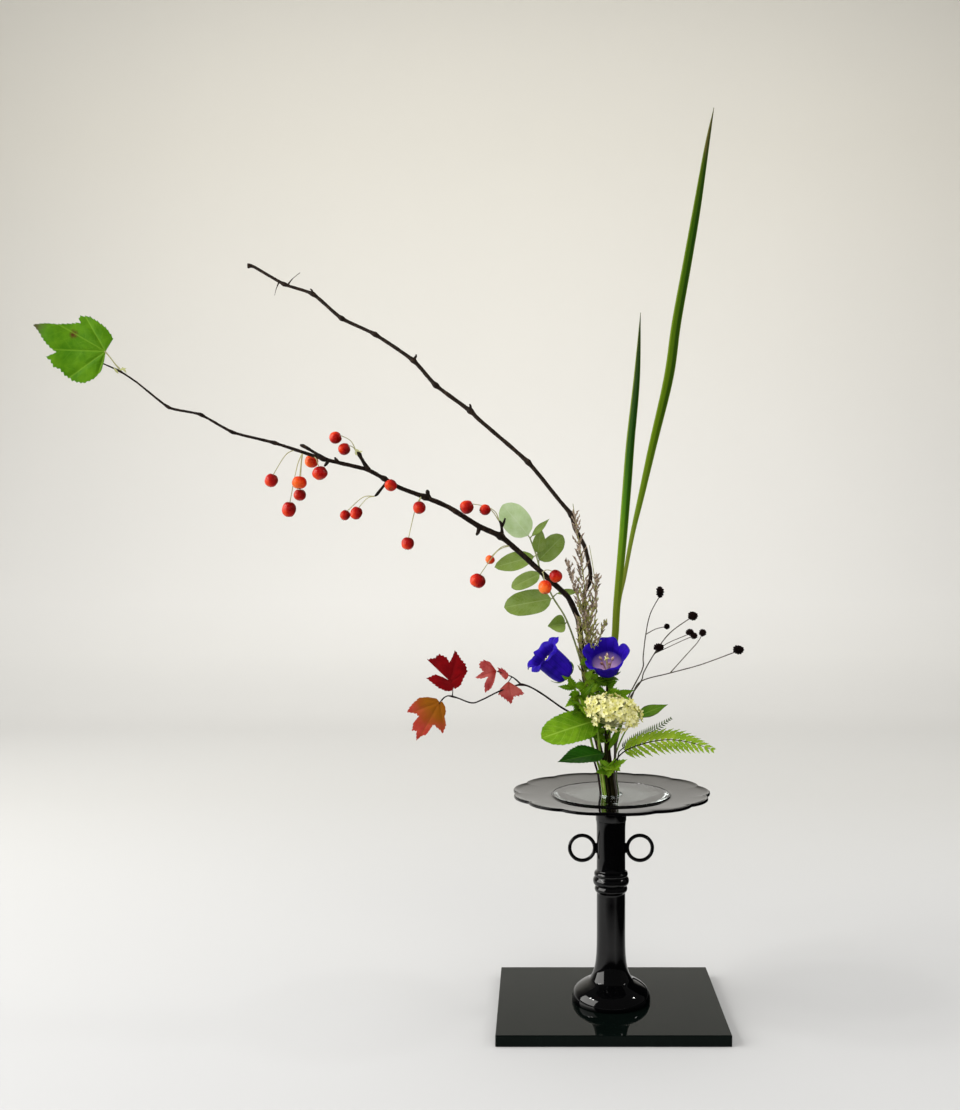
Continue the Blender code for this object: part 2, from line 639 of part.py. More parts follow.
def campanula(group):
    """Two bell flowers on their stems, with stem leaves."""
    left = [
        (-10, -3.4, 270), (-13, -6, 280), (-19, -11, 300), (-27, -17, 330), (-36, -21, 356), (-42, -23, 372),
        (-46.5, -25.0, 379),
    ]
    right = [
        (-3, -6.5, 280), (-3.2, -8, 300), (-3, -9, 330), (-2, -9, 360), (-1.4, -8.4, 380), (-1.4, -10, 388.6),
        (-1.6, -13.6, 389.4),
    ]
    left_stem = stem("campanula_stem_left", left, 3.0, group, [1.4, 1.4, 1.4, 1.3, 1.4, 3.4, 5.0])
    right_stem = stem("campanula_stem_right", right, 3.0, group, [1.4, 1.4, 1.4, 1.3, 1.5, 3.6, 5.0])
    for thing in (left_stem, right_stem):
        round_shading(thing, 60.0)
        paint(thing, "campanula_green")
    bell("bell_flower_left", (-47.4, -25.4, 380.2), (-78, -40, 407), 40.0, 21.0, group)
    bell("bell_flower_right", (-1.9, -15.2, 389.8), (-4.5, -45, 394.5), 30.0, 24.5, group)
    leaves = [
        ("campanula_leaf_1", (-31, -21.2, 341), (-44, -46, 356), 13, (0, -0.5, 1)),
        ("campanula_leaf_2", (-1.2, -10.2, 348), (26, -22, 362), 11, (0, -1, 0.8)),
        ("campanula_leaf_3", (-5.2, -10.8, 337), (-22, -26, 360), 12, (0, -1, 0.6)),
        ("campanula_leaf_4", (-0.6, -10.4, 292), (16, -16, 326), 7, (0, -1, 0.3)),
    ]
    for name, base, tip, width, facing in leaves:
        blade = leaf(name, LANCE, base, tip, width, facing, group)
        paint(blade, "campanula_green")


def burnet_stem(name, route, twigs, heads, group):
    """A branching wiry stem with its dark flower heads, grown as one piece."""
    solids = [stem(name, route, 0.7, group)]
    for number, points in enumerate(twigs):
        solids.append(tube("twig_%d" % number, points, [0.7] * len(points), group))
    for number, (centre, size) in enumerate(heads):
        solids.append(ball("head_%d" % number, centre, size, group))
    whole = fuse(name, solids, group)
    round_shading(whole, 60.0)
    paint(whole, "burnet_brown")


def burnets(group):
    """The three burnets that spread to the right."""
    tall = [
        (7.3, 4.5, 285), (8, 5, 300), (16, 6.5, 330), (25, 8, 353), (39, 10, 380), (40, 11, 394),
        (43, 12, 419), (48, 12, 442), (58, 12, 463),
    ]
    tall_twigs = [[(43, 12, 419), (66, 14, 427.8)]]
    tall_heads = [((59, 12, 467), (8, 8, 13)), ((67, 14, 428), (6, 6, 6))]
    burnet_stem("burnet_tall", tall, tall_twigs, tall_heads, group)
    middle = [
        (8, 0.2, 284), (9, -2, 300), (16, -6, 330), (24, -8, 351), (36, -10, 369), (39, -10, 379),
        (50, -8, 398), (62, -6, 415), (73, -5, 426), (92, -4, 440),
    ]
    middle_twigs = [
        [(50, -8, 398), (55, -14, 407)],
        [(50, -8, 398), (63, -12, 410), (84, -17, 420), (92, -19, 421)],
    ]
    middle_heads = [
        ((94, -4, 441), (10, 10, 9)), ((55, -14, 407), (11, 9, 8)), ((89, -18, 424), (8, 8, 6)),
        ((93.5, -20, 420), (7, 7, 6)),
    ]
    burnet_stem("burnet_middle", middle, middle_twigs, middle_heads, group)
    long = [
        (7.8, -5.5, 284), (9, -8, 300), (17, -13, 330), (25, -14, 351), (35, -15, 369), (67, -20, 379),
        (100, -27, 389), (138, -34, 404),
    ]
    long_twigs = [[(67, -20, 379), (83, -16, 396), (98, -13, 412), (104, -12, 422)]]
    long_heads = [((140, -34, 406), (11, 11, 9)), ((104, -12, 423), (7, 7, 7))]
    burnet_stem("burnet_long", long, long_twigs, long_heads, group)


def stalked_leaf(name, route, shape, base, tip, width, facing, finish, group):
    """A leaf whose stalk stands in the bundle."""
    stalk = stem(name, route, SLOTS[name][2] * 0.8, group)
    blade = leaf(name + "_blade", shape, base, tip, width, facing, group)
    whole = fuse(name, [stalk, blade], group)
    round_shading(whole, 60.0)
    paint(whole, finish)


def low_leaves(group):
    """The leaves and ferns around the foot of the arrangement."""
    stalked_leaf(
        "broad_leaf", [(-8.5, -11.5, 280), (-11, -16, 300), (-14.6, -21.4, 328)], OVATE,
        (-13, -20, 327), (-74, -74, 322), 36, (-0.1, -0.85, 0.5), "broad_green", group,
    )
    stalked_leaf(
        "dark_leaf", [(-4, -13, 275), (-5.4, -17, 288), (-9, -19.6, 290.4)], LANCE,
        (-5, -18, 290), (-57, -50, 289), 24, (-0.1, -0.5, 0.85), "dark_green", group,
    )
    stalked_leaf(
        "basal_leaf", [(1.6, -11, 268), (1.2, -15, 273)], LANCE,
        (1.6, -13.6, 272), (-4, -38, 278), 24, (0, -0.4, 0.9), "fern_green", group,
    )
    stalked_leaf(
        "right_leaf", [(9, 9, 285), (20, 11, 310), (34, 12.2, 327)], LANCE,
        (31, 12, 325), (68, 20, 338), 14, (-0.2, -0.8, 0.6), "broad_green", group,
    )
    stalked_leaf(
        "green_fern", [(8, -10, 280), (16, -16.6, 290), (26, -23.2, 297)], FROND,
        (22, -21, 296.6), (109, -60, 303), 46, (0, -0.45, 0.9), "fern_green", group,
    )
    stalked_leaf(
        "dark_fern", [(11, -2, 284), (17, -1.6, 295)], FROND,
        (14, -1.9, 292), (72, 10, 324), 14, (0, -1, 0.2), "fern_grey", group,
    )


def cream_flower_head(group):
    """The rounded head of cream florets on its stem."""
    route = [(0.1, -8.6, 270), (-0.5, -12, 280), (-3, -20, 303), (0, -32, 325), (3, -38, 336)]
    solids = [
        stem("cream_flower_head", route, 1.2, group),
        ball("floret_mass", (3, -40, 338), (60, 42, 40), group),
    ]
    whole = fuse("cream_flower_head", solids, group)
    round_shading(whole, 60.0)
    paint(whole, "cream_floret")


def main():
    remove_everything()
    group = new_collection("ikebana_arrangement")
    cutters = new_collection("cutters")
    view = bpy.context.view_layer
    view.active_layer_collection = view.layer_collection.children[group.name]
    vase(group, cutters)
    crabapple_branch(group)
    crabapples(group)
    tip_leaf(group)
    bare_branch(group)
    sword_leaves(group)
    grass_plume(group)
    oval_leaf_twig(group)
    maple(group)
    campanula(group)
    burnets(group)
    low_leaves(group)
    cream_flower_head(group)


main()
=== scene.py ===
"""The looks of the ikebana arrangement: its board, vase and water, and every stem, leaf, fruit and flower.

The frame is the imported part's own: metres, +Z up, +X to the arrangement's right, the viewer at -Y.
Routes and sizes are written in millimetres and made metres by MM.
"""

import math
import random

import bpy
from mathutils import Matrix, Vector, noise


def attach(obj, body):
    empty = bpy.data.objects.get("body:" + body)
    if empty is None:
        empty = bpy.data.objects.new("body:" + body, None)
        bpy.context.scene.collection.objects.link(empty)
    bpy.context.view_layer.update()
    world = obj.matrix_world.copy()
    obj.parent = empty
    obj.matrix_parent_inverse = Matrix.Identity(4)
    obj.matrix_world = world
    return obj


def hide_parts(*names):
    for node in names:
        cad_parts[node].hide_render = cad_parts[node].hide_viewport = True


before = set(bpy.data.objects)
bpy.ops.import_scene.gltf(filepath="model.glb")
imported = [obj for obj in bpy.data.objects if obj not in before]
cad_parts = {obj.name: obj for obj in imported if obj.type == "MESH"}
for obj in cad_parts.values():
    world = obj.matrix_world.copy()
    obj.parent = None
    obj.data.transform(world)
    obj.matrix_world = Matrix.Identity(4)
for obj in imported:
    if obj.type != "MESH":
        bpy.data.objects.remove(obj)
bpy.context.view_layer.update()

MM = 0.001
VASE_X = 3.0
UPWARD = Vector((0.0, 0.0, 1.0))
GOLDEN_TURN = 2.39996   # the turn that spreads florets evenly over a ball

# Where each stem stands in the bundle at the vase's mouth and at the top of the bundle, and its radius.
FOOT_CENTRE = (0.8, 0.0)
COLLAR_CENTRE = (-3.0, 0.0)
STEM_FOOT, MOUTH, COLLAR = 206.0, 230.0, 262.0
SLOTS = {
    "crabapple_branch": (-0.2, 0.2, 3.5), "bare_branch": (6.0, 1.6, 2.4), "maple_twig": (-8.4, -1.0, 1.2),
    "campanula_stem_left": (-5.3, -1.4, 1.4), "campanula_stem_right": (0.2, -5.2, 1.4),
    "grass_plume": (-3.6, -4.9, 1.2), "broad_leaf": (-3.0, -7.9, 1.3), "dark_leaf": (0.6, -8.6, 1.1),
    "basal_leaf": (4.6, -8.2, 0.8), "cream_flower_head": (3.4, -4.6, 1.2), "green_fern": (6.4, -3.6, 1.0),
    "dark_fern": (12.0, -1.2, 0.9), "burnet_long": (9.0, -1.8, 0.9), "burnet_middle": (10.0, 1.0, 0.9),
    "burnet_tall": (9.2, 3.8, 0.9), "right_leaf": (8.2, 6.6, 1.0), "oval_leaf_twig": (-4.0, 4.2, 1.3),
    "sword_leaf_tall": (3.8, 7.0, 1.9), "sword_leaf_short": (0.0, 9.1, 1.9),
}


# ---------------------------------------------------------------- handling

def deselect():
    for thing in bpy.context.selected_objects:
        thing.select_set(False)


def take(thing):
    """Make one object the only selected and the active one."""
    deselect()
    thing.select_set(True)
    bpy.context.view_layer.objects.active = thing


def edit(thing):
    take(thing)
    bpy.ops.object.mode_set(mode="EDIT")
    bpy.ops.mesh.select_mode(type="VERT")


def leave():
    bpy.ops.object.mode_set(mode="OBJECT")


def pick_faces(thing, wanted):
    """Open an object for editing with only the faces that wanted(face) says yes to selected."""
    edit(thing)
    bpy.ops.mesh.select_mode(type="FACE")
    bpy.ops.mesh.select_all(action="DESELECT")
    leave()
    for face in thing.data.polygons:
        face.select = wanted(face)
    edit(thing)


def tidy_mesh(thing, distance=0.01, outward=True):
    """Close seams and poles, and turn the faces outward."""
    edit(thing)
    bpy.ops.mesh.select_all(action="SELECT")
    bpy.ops.mesh.remove_doubles(threshold=distance * MM)
    if outward:
        bpy.ops.mesh.normals_make_consistent(inside=False)
    leave()


def thicken(thing, thickness):
    """Give a sheet its thickness, half on each side of it."""
    wall = thing.modifiers.new("thickness", "SOLIDIFY")
    wall.thickness = thickness * MM
    wall.offset = 0.0
    take(thing)
    bpy.ops.object.modifier_apply(modifier=wall.name)


def shade(thing, degrees=40.0):
    take(thing)
    bpy.ops.object.shade_smooth_by_angle(angle=math.radians(degrees))


def join(things, name):
    take(things[0])
    for thing in things:
        thing.select_set(True)
    bpy.ops.object.join()
    whole = bpy.context.object
    whole.name = name
    return whole


def settle(thing):
    """Put an object's place into its mesh."""
    take(thing)
    bpy.ops.object.transform_apply(location=True, rotation=True, scale=True)


def paint(thing, finish):
    thing.data.materials.clear()
    thing.data.materials.append(finish)


def hand_in(thing, name, slot, *nodes):
    """Name a finished piece, and say what it rides on and the nodes that it stands for; the slot argument, its
    finish slot, is not used.
    """
    thing.name = name
    thing.data.name = name
    settle(thing)
    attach(thing, "root")
    if nodes:
        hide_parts(*nodes)


# ---------------------------------------------------------------- shapes

def spline_value(rows, position):
    """A smooth curve through rows of numbers, read at a position from 0 to len(rows) - 1."""
    last = len(rows) - 1
    index = min(int(position), last - 1)
    t = position - index
    p0, p1 = rows[max(index - 1, 0)], rows[index]
    p2, p3 = rows[index + 1], rows[min(index + 2, last)]
    return [
        0.5 * (2 * b + (c - a) * t + (2 * a - 5 * b + 4 * c - d) * t * t + (3 * b - a - 3 * c + d) * t ** 3)
        for a, b, c, d in zip(p0, p1, p2, p3)
    ]


def smooth_route(knots, step, kink=0.0):
    """Points about a step apart on a curve through (x, y, z, radius) knots; kink makes its bends sharper."""
    points = []
    for index in range(len(knots) - 1):
        gap = (Vector(knots[index + 1][:3]) - Vector(knots[index][:3])).length
        count = max(1, round(gap / step))
        for number in range(count):
            share = number / count
            curved = spline_value(knots, index + share)
            straight = [a + (b - a) * share for a, b in zip(knots[index], knots[index + 1])]
            points.append([c + (s - c) * kink for c, s in zip(curved, straight)])
    return points + [list(knots[-1])]


def stem(name, knots, step=3.0, sides=2, rough=0.0, grain=0.12, knuckles=(), seed=0, kink=0.0):
    """A round stem through (x, y, z, radius) knots.

    rough swells and thins it from place to place, and knuckles are the (x, z) places of its swollen buds.
    """
    points = smooth_route(knots, step, kink)
    bpy.ops.curve.primitive_bezier_curve_add()
    thing = bpy.context.object
    curve = thing.data
    curve.dimensions = "3D"
    curve.bevel_depth = MM
    curve.bevel_resolution = sides
    curve.use_fill_caps = True
    curve.splines.clear()
    spline = curve.splines.new("POLY")
    spline.points.add(len(points) - 1)
    for number, (knot, (x, y, z, radius)) in enumerate(zip(spline.points, points)):
        swell = 1.0 + rough * noise.noise(Vector((number * step * 0.09, seed, 0.0)))
        for place in knuckles:
            swell += 0.55 * math.exp(-(math.dist((x, z), place) / 3.2) ** 2)
        knot.co = (x * MM, y * MM, z * MM, 1.0)
        knot.radius = radius * swell
    take(thing)
    bpy.ops.object.convert(target="MESH")
    thing = bpy.context.object
    thing.name = name
    tidy_mesh(thing, 0.004)
    if rough > 0.0:
        for vertex in thing.data.vertices:
            spot = vertex.co / MM
            bump = noise.noise(spot * 0.45) + 0.5 * noise.noise(spot * 1.1)
            vertex.co += vertex.normal * bump * grain * MM
    shade(thing, 60.0)
    return thing


def from_slot(node, route, end_radius):
    """Knots of a stem from its foot in the vase, up through the bundle and along its route."""
    x, y, radius = SLOTS[node]
    foot = (FOOT_CENTRE[0] + x, FOOT_CENTRE[1] + y)
    top = (COLLAR_CENTRE[0] + x, COLLAR_CENTRE[1] + y)
    knots = [(*foot, STEM_FOOT, radius), (*foot, MOUTH, radius), (*top, COLLAR, radius)]
    for number, point in enumerate(route):
        if len(point) == 4:
            knots.append(point)
        else:
            share = (number + 1) / len(route)
            knots.append((*point, radius + (end_radius - radius) * share))
    return knots


def grid_sheet(name, columns, rows, surface):
    """A grid primitive whose points are moved to surface(s, t), in millimetres; s and t run from 0 to 1."""
    bpy.ops.mesh.primitive_grid_add(x_subdivisions=columns, y_subdivisions=rows, size=1.0)
    thing = bpy.context.object
    thing.name = name
    for vertex in thing.data.vertices:
        vertex.co = Vector(surface(vertex.co.x + 0.5, vertex.co.y + 0.5)) * MM
    return thing


def facing_place(base, tip, facing):
    """A matrix with X from base to tip and Z towards the side that a leaf faces."""
    along = (Vector(tip) - Vector(base)).normalized()
    normal = Vector(facing)
    normal = (normal - along * normal.dot(along)).normalized()
    place = Matrix((along, normal.cross(along), normal)).transposed().to_4x4()
    place.translation = Vector(base) * MM
    return place


def outline_width(outline, s):
    """Half width of a leaf at s along its midrib, from (s, width) pairs."""
    for number in range(len(outline) - 1):
        if s <= outline[number + 1][0]:
            span = outline[number + 1][0] - outline[number][0]
            return max(0.0, spline_value(outline, number + (s - outline[number][0]) / span)[1])
    return max(0.0, outline[-1][1])


OVAL = [(0.0, 0.05), (0.07, 0.42), (0.2, 0.78), (0.38, 0.98), (0.58, 0.96), (0.78, 0.70), (0.92, 0.38),
        (1.0, 0.0)]
OVATE = [(0.0, 0.05), (0.06, 0.50), (0.18, 0.88), (0.34, 1.0), (0.54, 0.88), (0.76, 0.52), (0.92, 0.17),
         (1.0, 0.0)]
ROUND = [(0.0, 0.08), (0.06, 0.50), (0.18, 0.84), (0.34, 0.98), (0.54, 1.0), (0.74, 0.90), (0.90, 0.60),
         (0.97, 0.30), (1.0, 0.02)]
LANCE = [(0.0, 0.08), (0.12, 0.5), (0.3, 0.92), (0.42, 1.0), (0.6, 0.86), (0.8, 0.44), (0.93, 0.13), (1.0, 0.0)]


def leaf(name, base, tip, width, facing, outline, fold=0.12, droop=0.0, wave=0.0, teeth=0, tooth=0.0,
         ribs=7, quilt=0.25, rows=12, columns=48, thick=0.35, seed=0):
    """A leaf blade with a folded midrib, a drooping tip, a waved and toothed edge and quilted ribs."""
    length = (Vector(tip) - Vector(base)).length
    half = width / 2.0

    def surface(s, t):
        v = 2.0 * t - 1.0
        reach = outline_width(outline, s)
        if teeth:
            saw = (s * teeth) % 1.0
            reach *= 1.0 + tooth * (saw - 0.5) * min(1.0, 4.0 * s) * abs(v) ** 4
        y = v * reach * half
        x = s * length
        rib = math.cos((s - 0.30 * abs(v)) * ribs * 2.0 * math.pi)
        z = fold * abs(y) * (1.0 - 0.35 * s) - droop * length * s * s
        z += quilt * rib * abs(v) * (1.0 - abs(v)) * 2.0
        z += wave * v * abs(v) * math.sin(s * 9.0 + seed + (1.3 if v > 0.0 else 0.0)) * min(1.0,
                                                                                            4.0 * (1.0 - s))
        return x, y, z

    thing = grid_sheet(name, columns, rows, surface)
    thing.matrix_world = facing_place(base, tip, facing)
    settle(thing)
    tidy_mesh(thing, 0.01, outward=False)
    thicken(thing, thick)
    shade(thing, 50.0)
    return thing


def fan_leaf(name, base, outline, facing, up, teeth=0.0, tooth_length=3.0, cup=0.0, quilt=0.5, ribs=(),
             bend=0.0, columns=160, rows=10, thick=0.35, seed=0):
    """A lobed leaf spread out from its stalk; outline is (right, up) points from the stalk, round and back."""
    total = [0.0]
    for number in range(len(outline) - 1):
        total.append(total[-1] + math.dist(outline[number], outline[number + 1]))
    reach_all = max(math.hypot(*point) for point in outline)

    def edge(s):
        want = s * total[-1]
        for number in range(len(outline) - 1):
            if want <= total[number + 1] + 1e-6:
                share = (want - total[number]) / (total[number + 1] - total[number])
                a, b = outline[number], outline[number + 1]
                return a[0] + (b[0] - a[0]) * share, a[1] + (b[1] - a[1]) * share
        return outline[-1]

    def surface(s, t):
        x, y = edge(s)
        saw = (s * total[-1] / tooth_length) % 1.0
        out = 1.0 + teeth * (saw - 0.45) / max(8.0, math.hypot(x, y)) * min(1.0, 6.0 * s, 6.0 * (1.0 - s))
        x, y = x * t * out, y * t * out
        radius = math.hypot(x, y)
        z = cup * (radius / reach_all) ** 2 * reach_all
        for angle in ribs:
            across = x * math.sin(angle) - y * math.cos(angle)
            ahead = x * math.cos(angle) + y * math.sin(angle)
            if ahead > 0.0:
                z -= quilt * math.exp(-(across / (1.2 + 0.06 * ahead)) ** 2)
        z += bend * math.sin(x * 0.11 + seed) * radius / reach_all
        z += 0.5 * quilt * noise.noise(Vector((x * 0.2, y * 0.2, seed)))
        return x, y, z

    thing = grid_sheet(name, columns, rows, surface)
    layer = thing.data.uv_layers[0].data
    for loop in thing.data.loops:
        spot = thing.data.vertices[loop.vertex_index].co / (MM * reach_all)
        layer[loop.index].uv = (0.5 + spot.x / 2.0, 0.5 + spot.y / 2.0)
    thing.matrix_world = facing_place(base, Vector(base) + Vector(up), facing) @ Matrix.Rotation(-math.pi / 2,
                                                                                                 4, "Z")
    settle(thing)
    tidy_mesh(thing, 0.02, outward=False)
    thicken(thing, thick)
    shade(thing, 50.0)
    return thing


def ring_stack(name, profile, segments, cap=True):
    """A turned piece on the vase's axis: one circle, extruded and scaled along a (radius, height) profile."""
    radius, height = profile[0]
    bpy.ops.mesh.primitive_circle_add(
        vertices=segments, radius=radius * MM, fill_type="NGON" if cap else "NOTHING",
        location=(VASE_X * MM, 0.0, height * MM),
    )
    thing = bpy.context.object
    thing.name = name
    edit(thing)
    bpy.ops.mesh.select_all(action="SELECT")
    for next_radius, next_height in profile[1:]:
        bpy.ops.mesh.extrude_region_move(TRANSFORM_OT_translate={"value": (0.0, 0.0,
                                                                           (next_height - height) * MM)})
        share = next_radius / radius
        bpy.ops.transform.resize(value=(share, share, 1.0),
                                 center_override=(VASE_X * MM, 0.0, next_height * MM))
        radius, height = next_radius, next_height
    leave()
    tidy_mesh(thing, 0.005)
    shade(thing, 35.0)
    return thing


def close_wall(thing):
    """Bridge the first and last rings of a turned wall."""
    edit(thing)
    bpy.ops.mesh.select_all(action="DESELECT")
    bpy.ops.mesh.select_mode(type="EDGE")
    bpy.ops.mesh.select_non_manifold()
    bpy.ops.mesh.bridge_edge_loops()
    leave()
    tidy_mesh(thing, 0.002)
    shade(thing, 35.0)


def aimed(way):
    """The turn that brings the upward direction to another direction."""
    return UPWARD.rotation_difference(way).to_matrix().to_4x4()


def twin_of(mesh, name):
    """A copy of a shape with its own mesh, linked to the scene."""
    twin = bpy.data.objects.new(name, mesh.copy())
    bpy.context.collection.objects.link(twin)
    return twin


# ---------------------------------------------------------------- finishes

class Finish:
    """A Principled material with short ways to add and join its nodes."""

    def __init__(self, name, colour, roughness, **sockets):
        self.material = bpy.data.materials.new(name)
        self.material.use_nodes = True
        self.tree = self.material.node_tree
        self.shader = self.tree.nodes["Principled BSDF"]
        self.shader.inputs["Base Color"].default_value = (*colour, 1.0)
        self.shader.inputs["Roughness"].default_value = roughness
        for socket, value in sockets.items():
            self.shader.inputs[socket.replace("_", " ")].default_value = value

    def add(self, kind, inputs=None, **settings):
        node = self.tree.nodes.new("ShaderNode" + kind)
        for setting, value in settings.items():
            setattr(node, setting, value)
        for socket, value in (inputs or {}).items():
            if isinstance(value, bpy.types.NodeSocket):
                self.tree.links.new(value, node.inputs[socket])
            else:
                node.inputs[socket].default_value = value
        return node

    def place(self, uv=False):
        return self.add("TexCoord").outputs["UV" if uv else "Object"]

    def math(self, operation, a, b=0.0, clamp=False):
        return self.add("Math", {0: a, 1: b}, operation=operation, use_clamp=clamp).outputs[0]

    def noise(self, scale, detail=3.0, roughness=0.5, place=None, stretch=None):
        spot = place or self.place()
        if stretch:
            spot = self.add("Mapping", {"Vector": spot, "Scale": stretch}).outputs[0]
        return self.add(
            "TexNoise", {"Vector": spot, "Scale": scale, "Detail": detail, "Roughness": roughness}
        ).outputs["Fac"]

    def ramp(self, factor, *stops):
        """A colour ramp; each stop is (position, colour)."""
        node = self.add("ValToRGB", {"Fac": factor})
        marks = node.color_ramp.elements
        marks[0].position, marks[1].position = stops[0][0], stops[-1][0]
        for position, _ in stops[1:-1]:
            marks.new(position)
        for mark, (position, colour) in zip(marks, stops):
            mark.color = (*colour, 1.0) if len(colour) == 3 else colour
        return node.outputs["Color"]

    def blend(self, factor, a, b):
        node = self.add("Mix", data_type="RGBA", clamp_factor=True)
        self.join(factor, node.inputs[0])
        self.join(a, node.inputs[6])
        self.join(b, node.inputs[7])
        return node.outputs[2]

    def join(self, value, socket):
        if isinstance(value, bpy.types.NodeSocket):
            self.tree.links.new(value, socket)
        elif isinstance(value, (tuple, list)):
            socket.default_value = (*value, 1.0) if len(value) == 3 else value
        else:
            socket.default_value = value

    def spread(self, value, low, high, to_low, to_high):
        return self.add("MapRange", {"Value": value, 1: low, 2: high, 3: to_low, 4: to_high}).outputs[0]

    def colour(self, value):
        self.join(value, self.shader.inputs["Base Color"])
        return self

    def rough(self, value):
        self.join(value, self.shader.inputs["Roughness"])
        return self

    def bump(self, height, distance, strength=1.0):
        """Relief from a height value; distance is in millimetres."""
        node = self.add("Bump", {"Height": height, "Distance": distance * MM, "Strength": strength})
        self.tree.links.new(node.outputs[0], self.shader.inputs["Normal"])
        return self


def lacquer(name, colour, low, high, ior, tone=(1.0, 1.0, 1.0), wear=0.5):
    """Deep gloss black with faint wiping marks, and a trace of dust that dulls it here and there."""
    finish = Finish(name, colour, low, IOR=ior, Specular_Tint=(*tone, 1.0))
    marks = finish.noise(900.0, 2.0, 0.6, stretch=(1.0, 1.0, 0.12))
    cloud = finish.noise(30.0, 4.0, 0.6)
    dust = finish.math("MULTIPLY", finish.spread(marks, 0.45, 0.8, 0.0, 1.0),
                       finish.spread(cloud, 0.4, 0.7, 0.0, wear))
    finish.colour(finish.blend(dust, colour, [4.0 * part for part in colour]))
    finish.rough(finish.spread(dust, 0.0, 1.0, low, high))
    finish.bump(finish.noise(140.0, 2.0), 0.02, 0.25)
    return finish.material


def bark(name, dark, mid, pale, scale, pore_share, roughness=0.62):
    """Bark with mottled colour, fine cross rings, pale pores and a broken sheen."""
    finish = Finish(name, mid, roughness, Specular_IOR_Level=0.16)
    cloud = finish.noise(scale, 5.0, 0.62)
    base = finish.ramp(cloud, (0.30, dark), (0.52, mid), (0.78, pale))
    pores = finish.add("TexVoronoi", {"Vector": finish.place(), "Scale": scale * 4.2,
                                      "Randomness": 1.0}).outputs[0]
    spots = finish.spread(pores, 0.0, pore_share, 1.0, 0.0)
    finish.colour(finish.blend(finish.math("MULTIPLY", spots, 0.7), base, pale))
    rings = finish.add(
        "TexWave", {"Vector": finish.place(True), "Scale": 60.0, "Distortion": 4.0, "Detail": 3.0},
        bands_direction="X",
    ).outputs["Fac"]
    relief = finish.math("ADD", finish.math("MULTIPLY", rings, 0.35), finish.math("MULTIPLY", cloud, 1.0))
    finish.rough(finish.spread(cloud, 0.3, 0.7, roughness - 0.16, roughness + 0.14))
    finish.bump(finish.math("ADD", relief, finish.math("MULTIPLY", spots, 0.5)), 0.35, 0.8)
    return finish.material


def leaf_finish(name, deep, fresh, vein, ribs=7.0, edge=None, rust=None, bloom=None, roughness=0.42, glow=0.12):
    """A leaf with a pale midrib and side veins, mottled green, and a slightly waxy face."""
    finish = Finish(name, fresh, roughness, Subsurface_Weight=glow, Subsurface_Scale=0.004,
                    Specular_IOR_Level=0.08)
    finish.shader.inputs["Subsurface Radius"].default_value = (0.4, 0.9, 0.15)
    uv = finish.add("SeparateXYZ", {0: finish.place(True)})
    along = uv.outputs[0]
    across = finish.math("ABSOLUTE", finish.math("SUBTRACT", uv.outputs[1], 0.5))
    sweep = finish.math("SUBTRACT", along, finish.math("MULTIPLY", across, 0.6))
    rib = finish.math("ABSOLUTE", finish.math("SINE", finish.math("MULTIPLY", sweep, ribs * math.pi)))
    side_vein = finish.math("SUBTRACT", 1.0, finish.spread(rib, 0.0, 0.22, 0.0, 1.0), True)
    midrib = finish.math("SUBTRACT", 1.0, finish.spread(across, 0.006, 0.035, 0.0, 1.0), True)
    net = finish.add(
        "TexVoronoi", {"Vector": finish.place(), "Scale": 620.0}, feature="DISTANCE_TO_EDGE"
    ).outputs["Distance"]
    mesh = finish.spread(net, 0.0, 0.16, 1.0, 0.0)
    lines = finish.math("MAXIMUM", midrib, finish.math("MULTIPLY", side_vein, 0.55))
    cloud = finish.noise(46.0, 4.0, 0.6)
    face = finish.blend(finish.spread(cloud, 0.34, 0.66, 0.0, 1.0), deep, fresh)
    face = finish.blend(finish.math("MULTIPLY", mesh, 0.16), face, vein)
    face = finish.blend(finish.math("MULTIPLY", lines, 0.7), face, vein)
    if edge:
        rim = finish.spread(across, 0.36, 0.5, 0.0, 1.0)
        spotty = finish.math("MULTIPLY", rim, finish.spread(finish.noise(120.0), 0.4, 0.62, 0.0, 1.0), True)
        face = finish.blend(spotty, face, edge)
    if rust:
        patch = finish.spread(finish.noise(34.0, 5.0, 0.7), 0.66, 0.74, 0.0, 0.9)
        face = finish.blend(patch, face, rust)
    if bloom:
        face = finish.blend(finish.spread(finish.noise(80.0, 5.0, 0.7), 0.35, 0.75, 0.0, 0.55), face, bloom)
    finish.colour(face)
    finish.rough(finish.spread(cloud, 0.3, 0.7, roughness - 0.08, roughness + 0.12))
    relief = finish.math("SUBTRACT", finish.math("MULTIPLY", net, 1.2), finish.math("MULTIPLY", lines, 0.8))
    finish.bump(relief, 0.25, 0.55)
    return finish.material


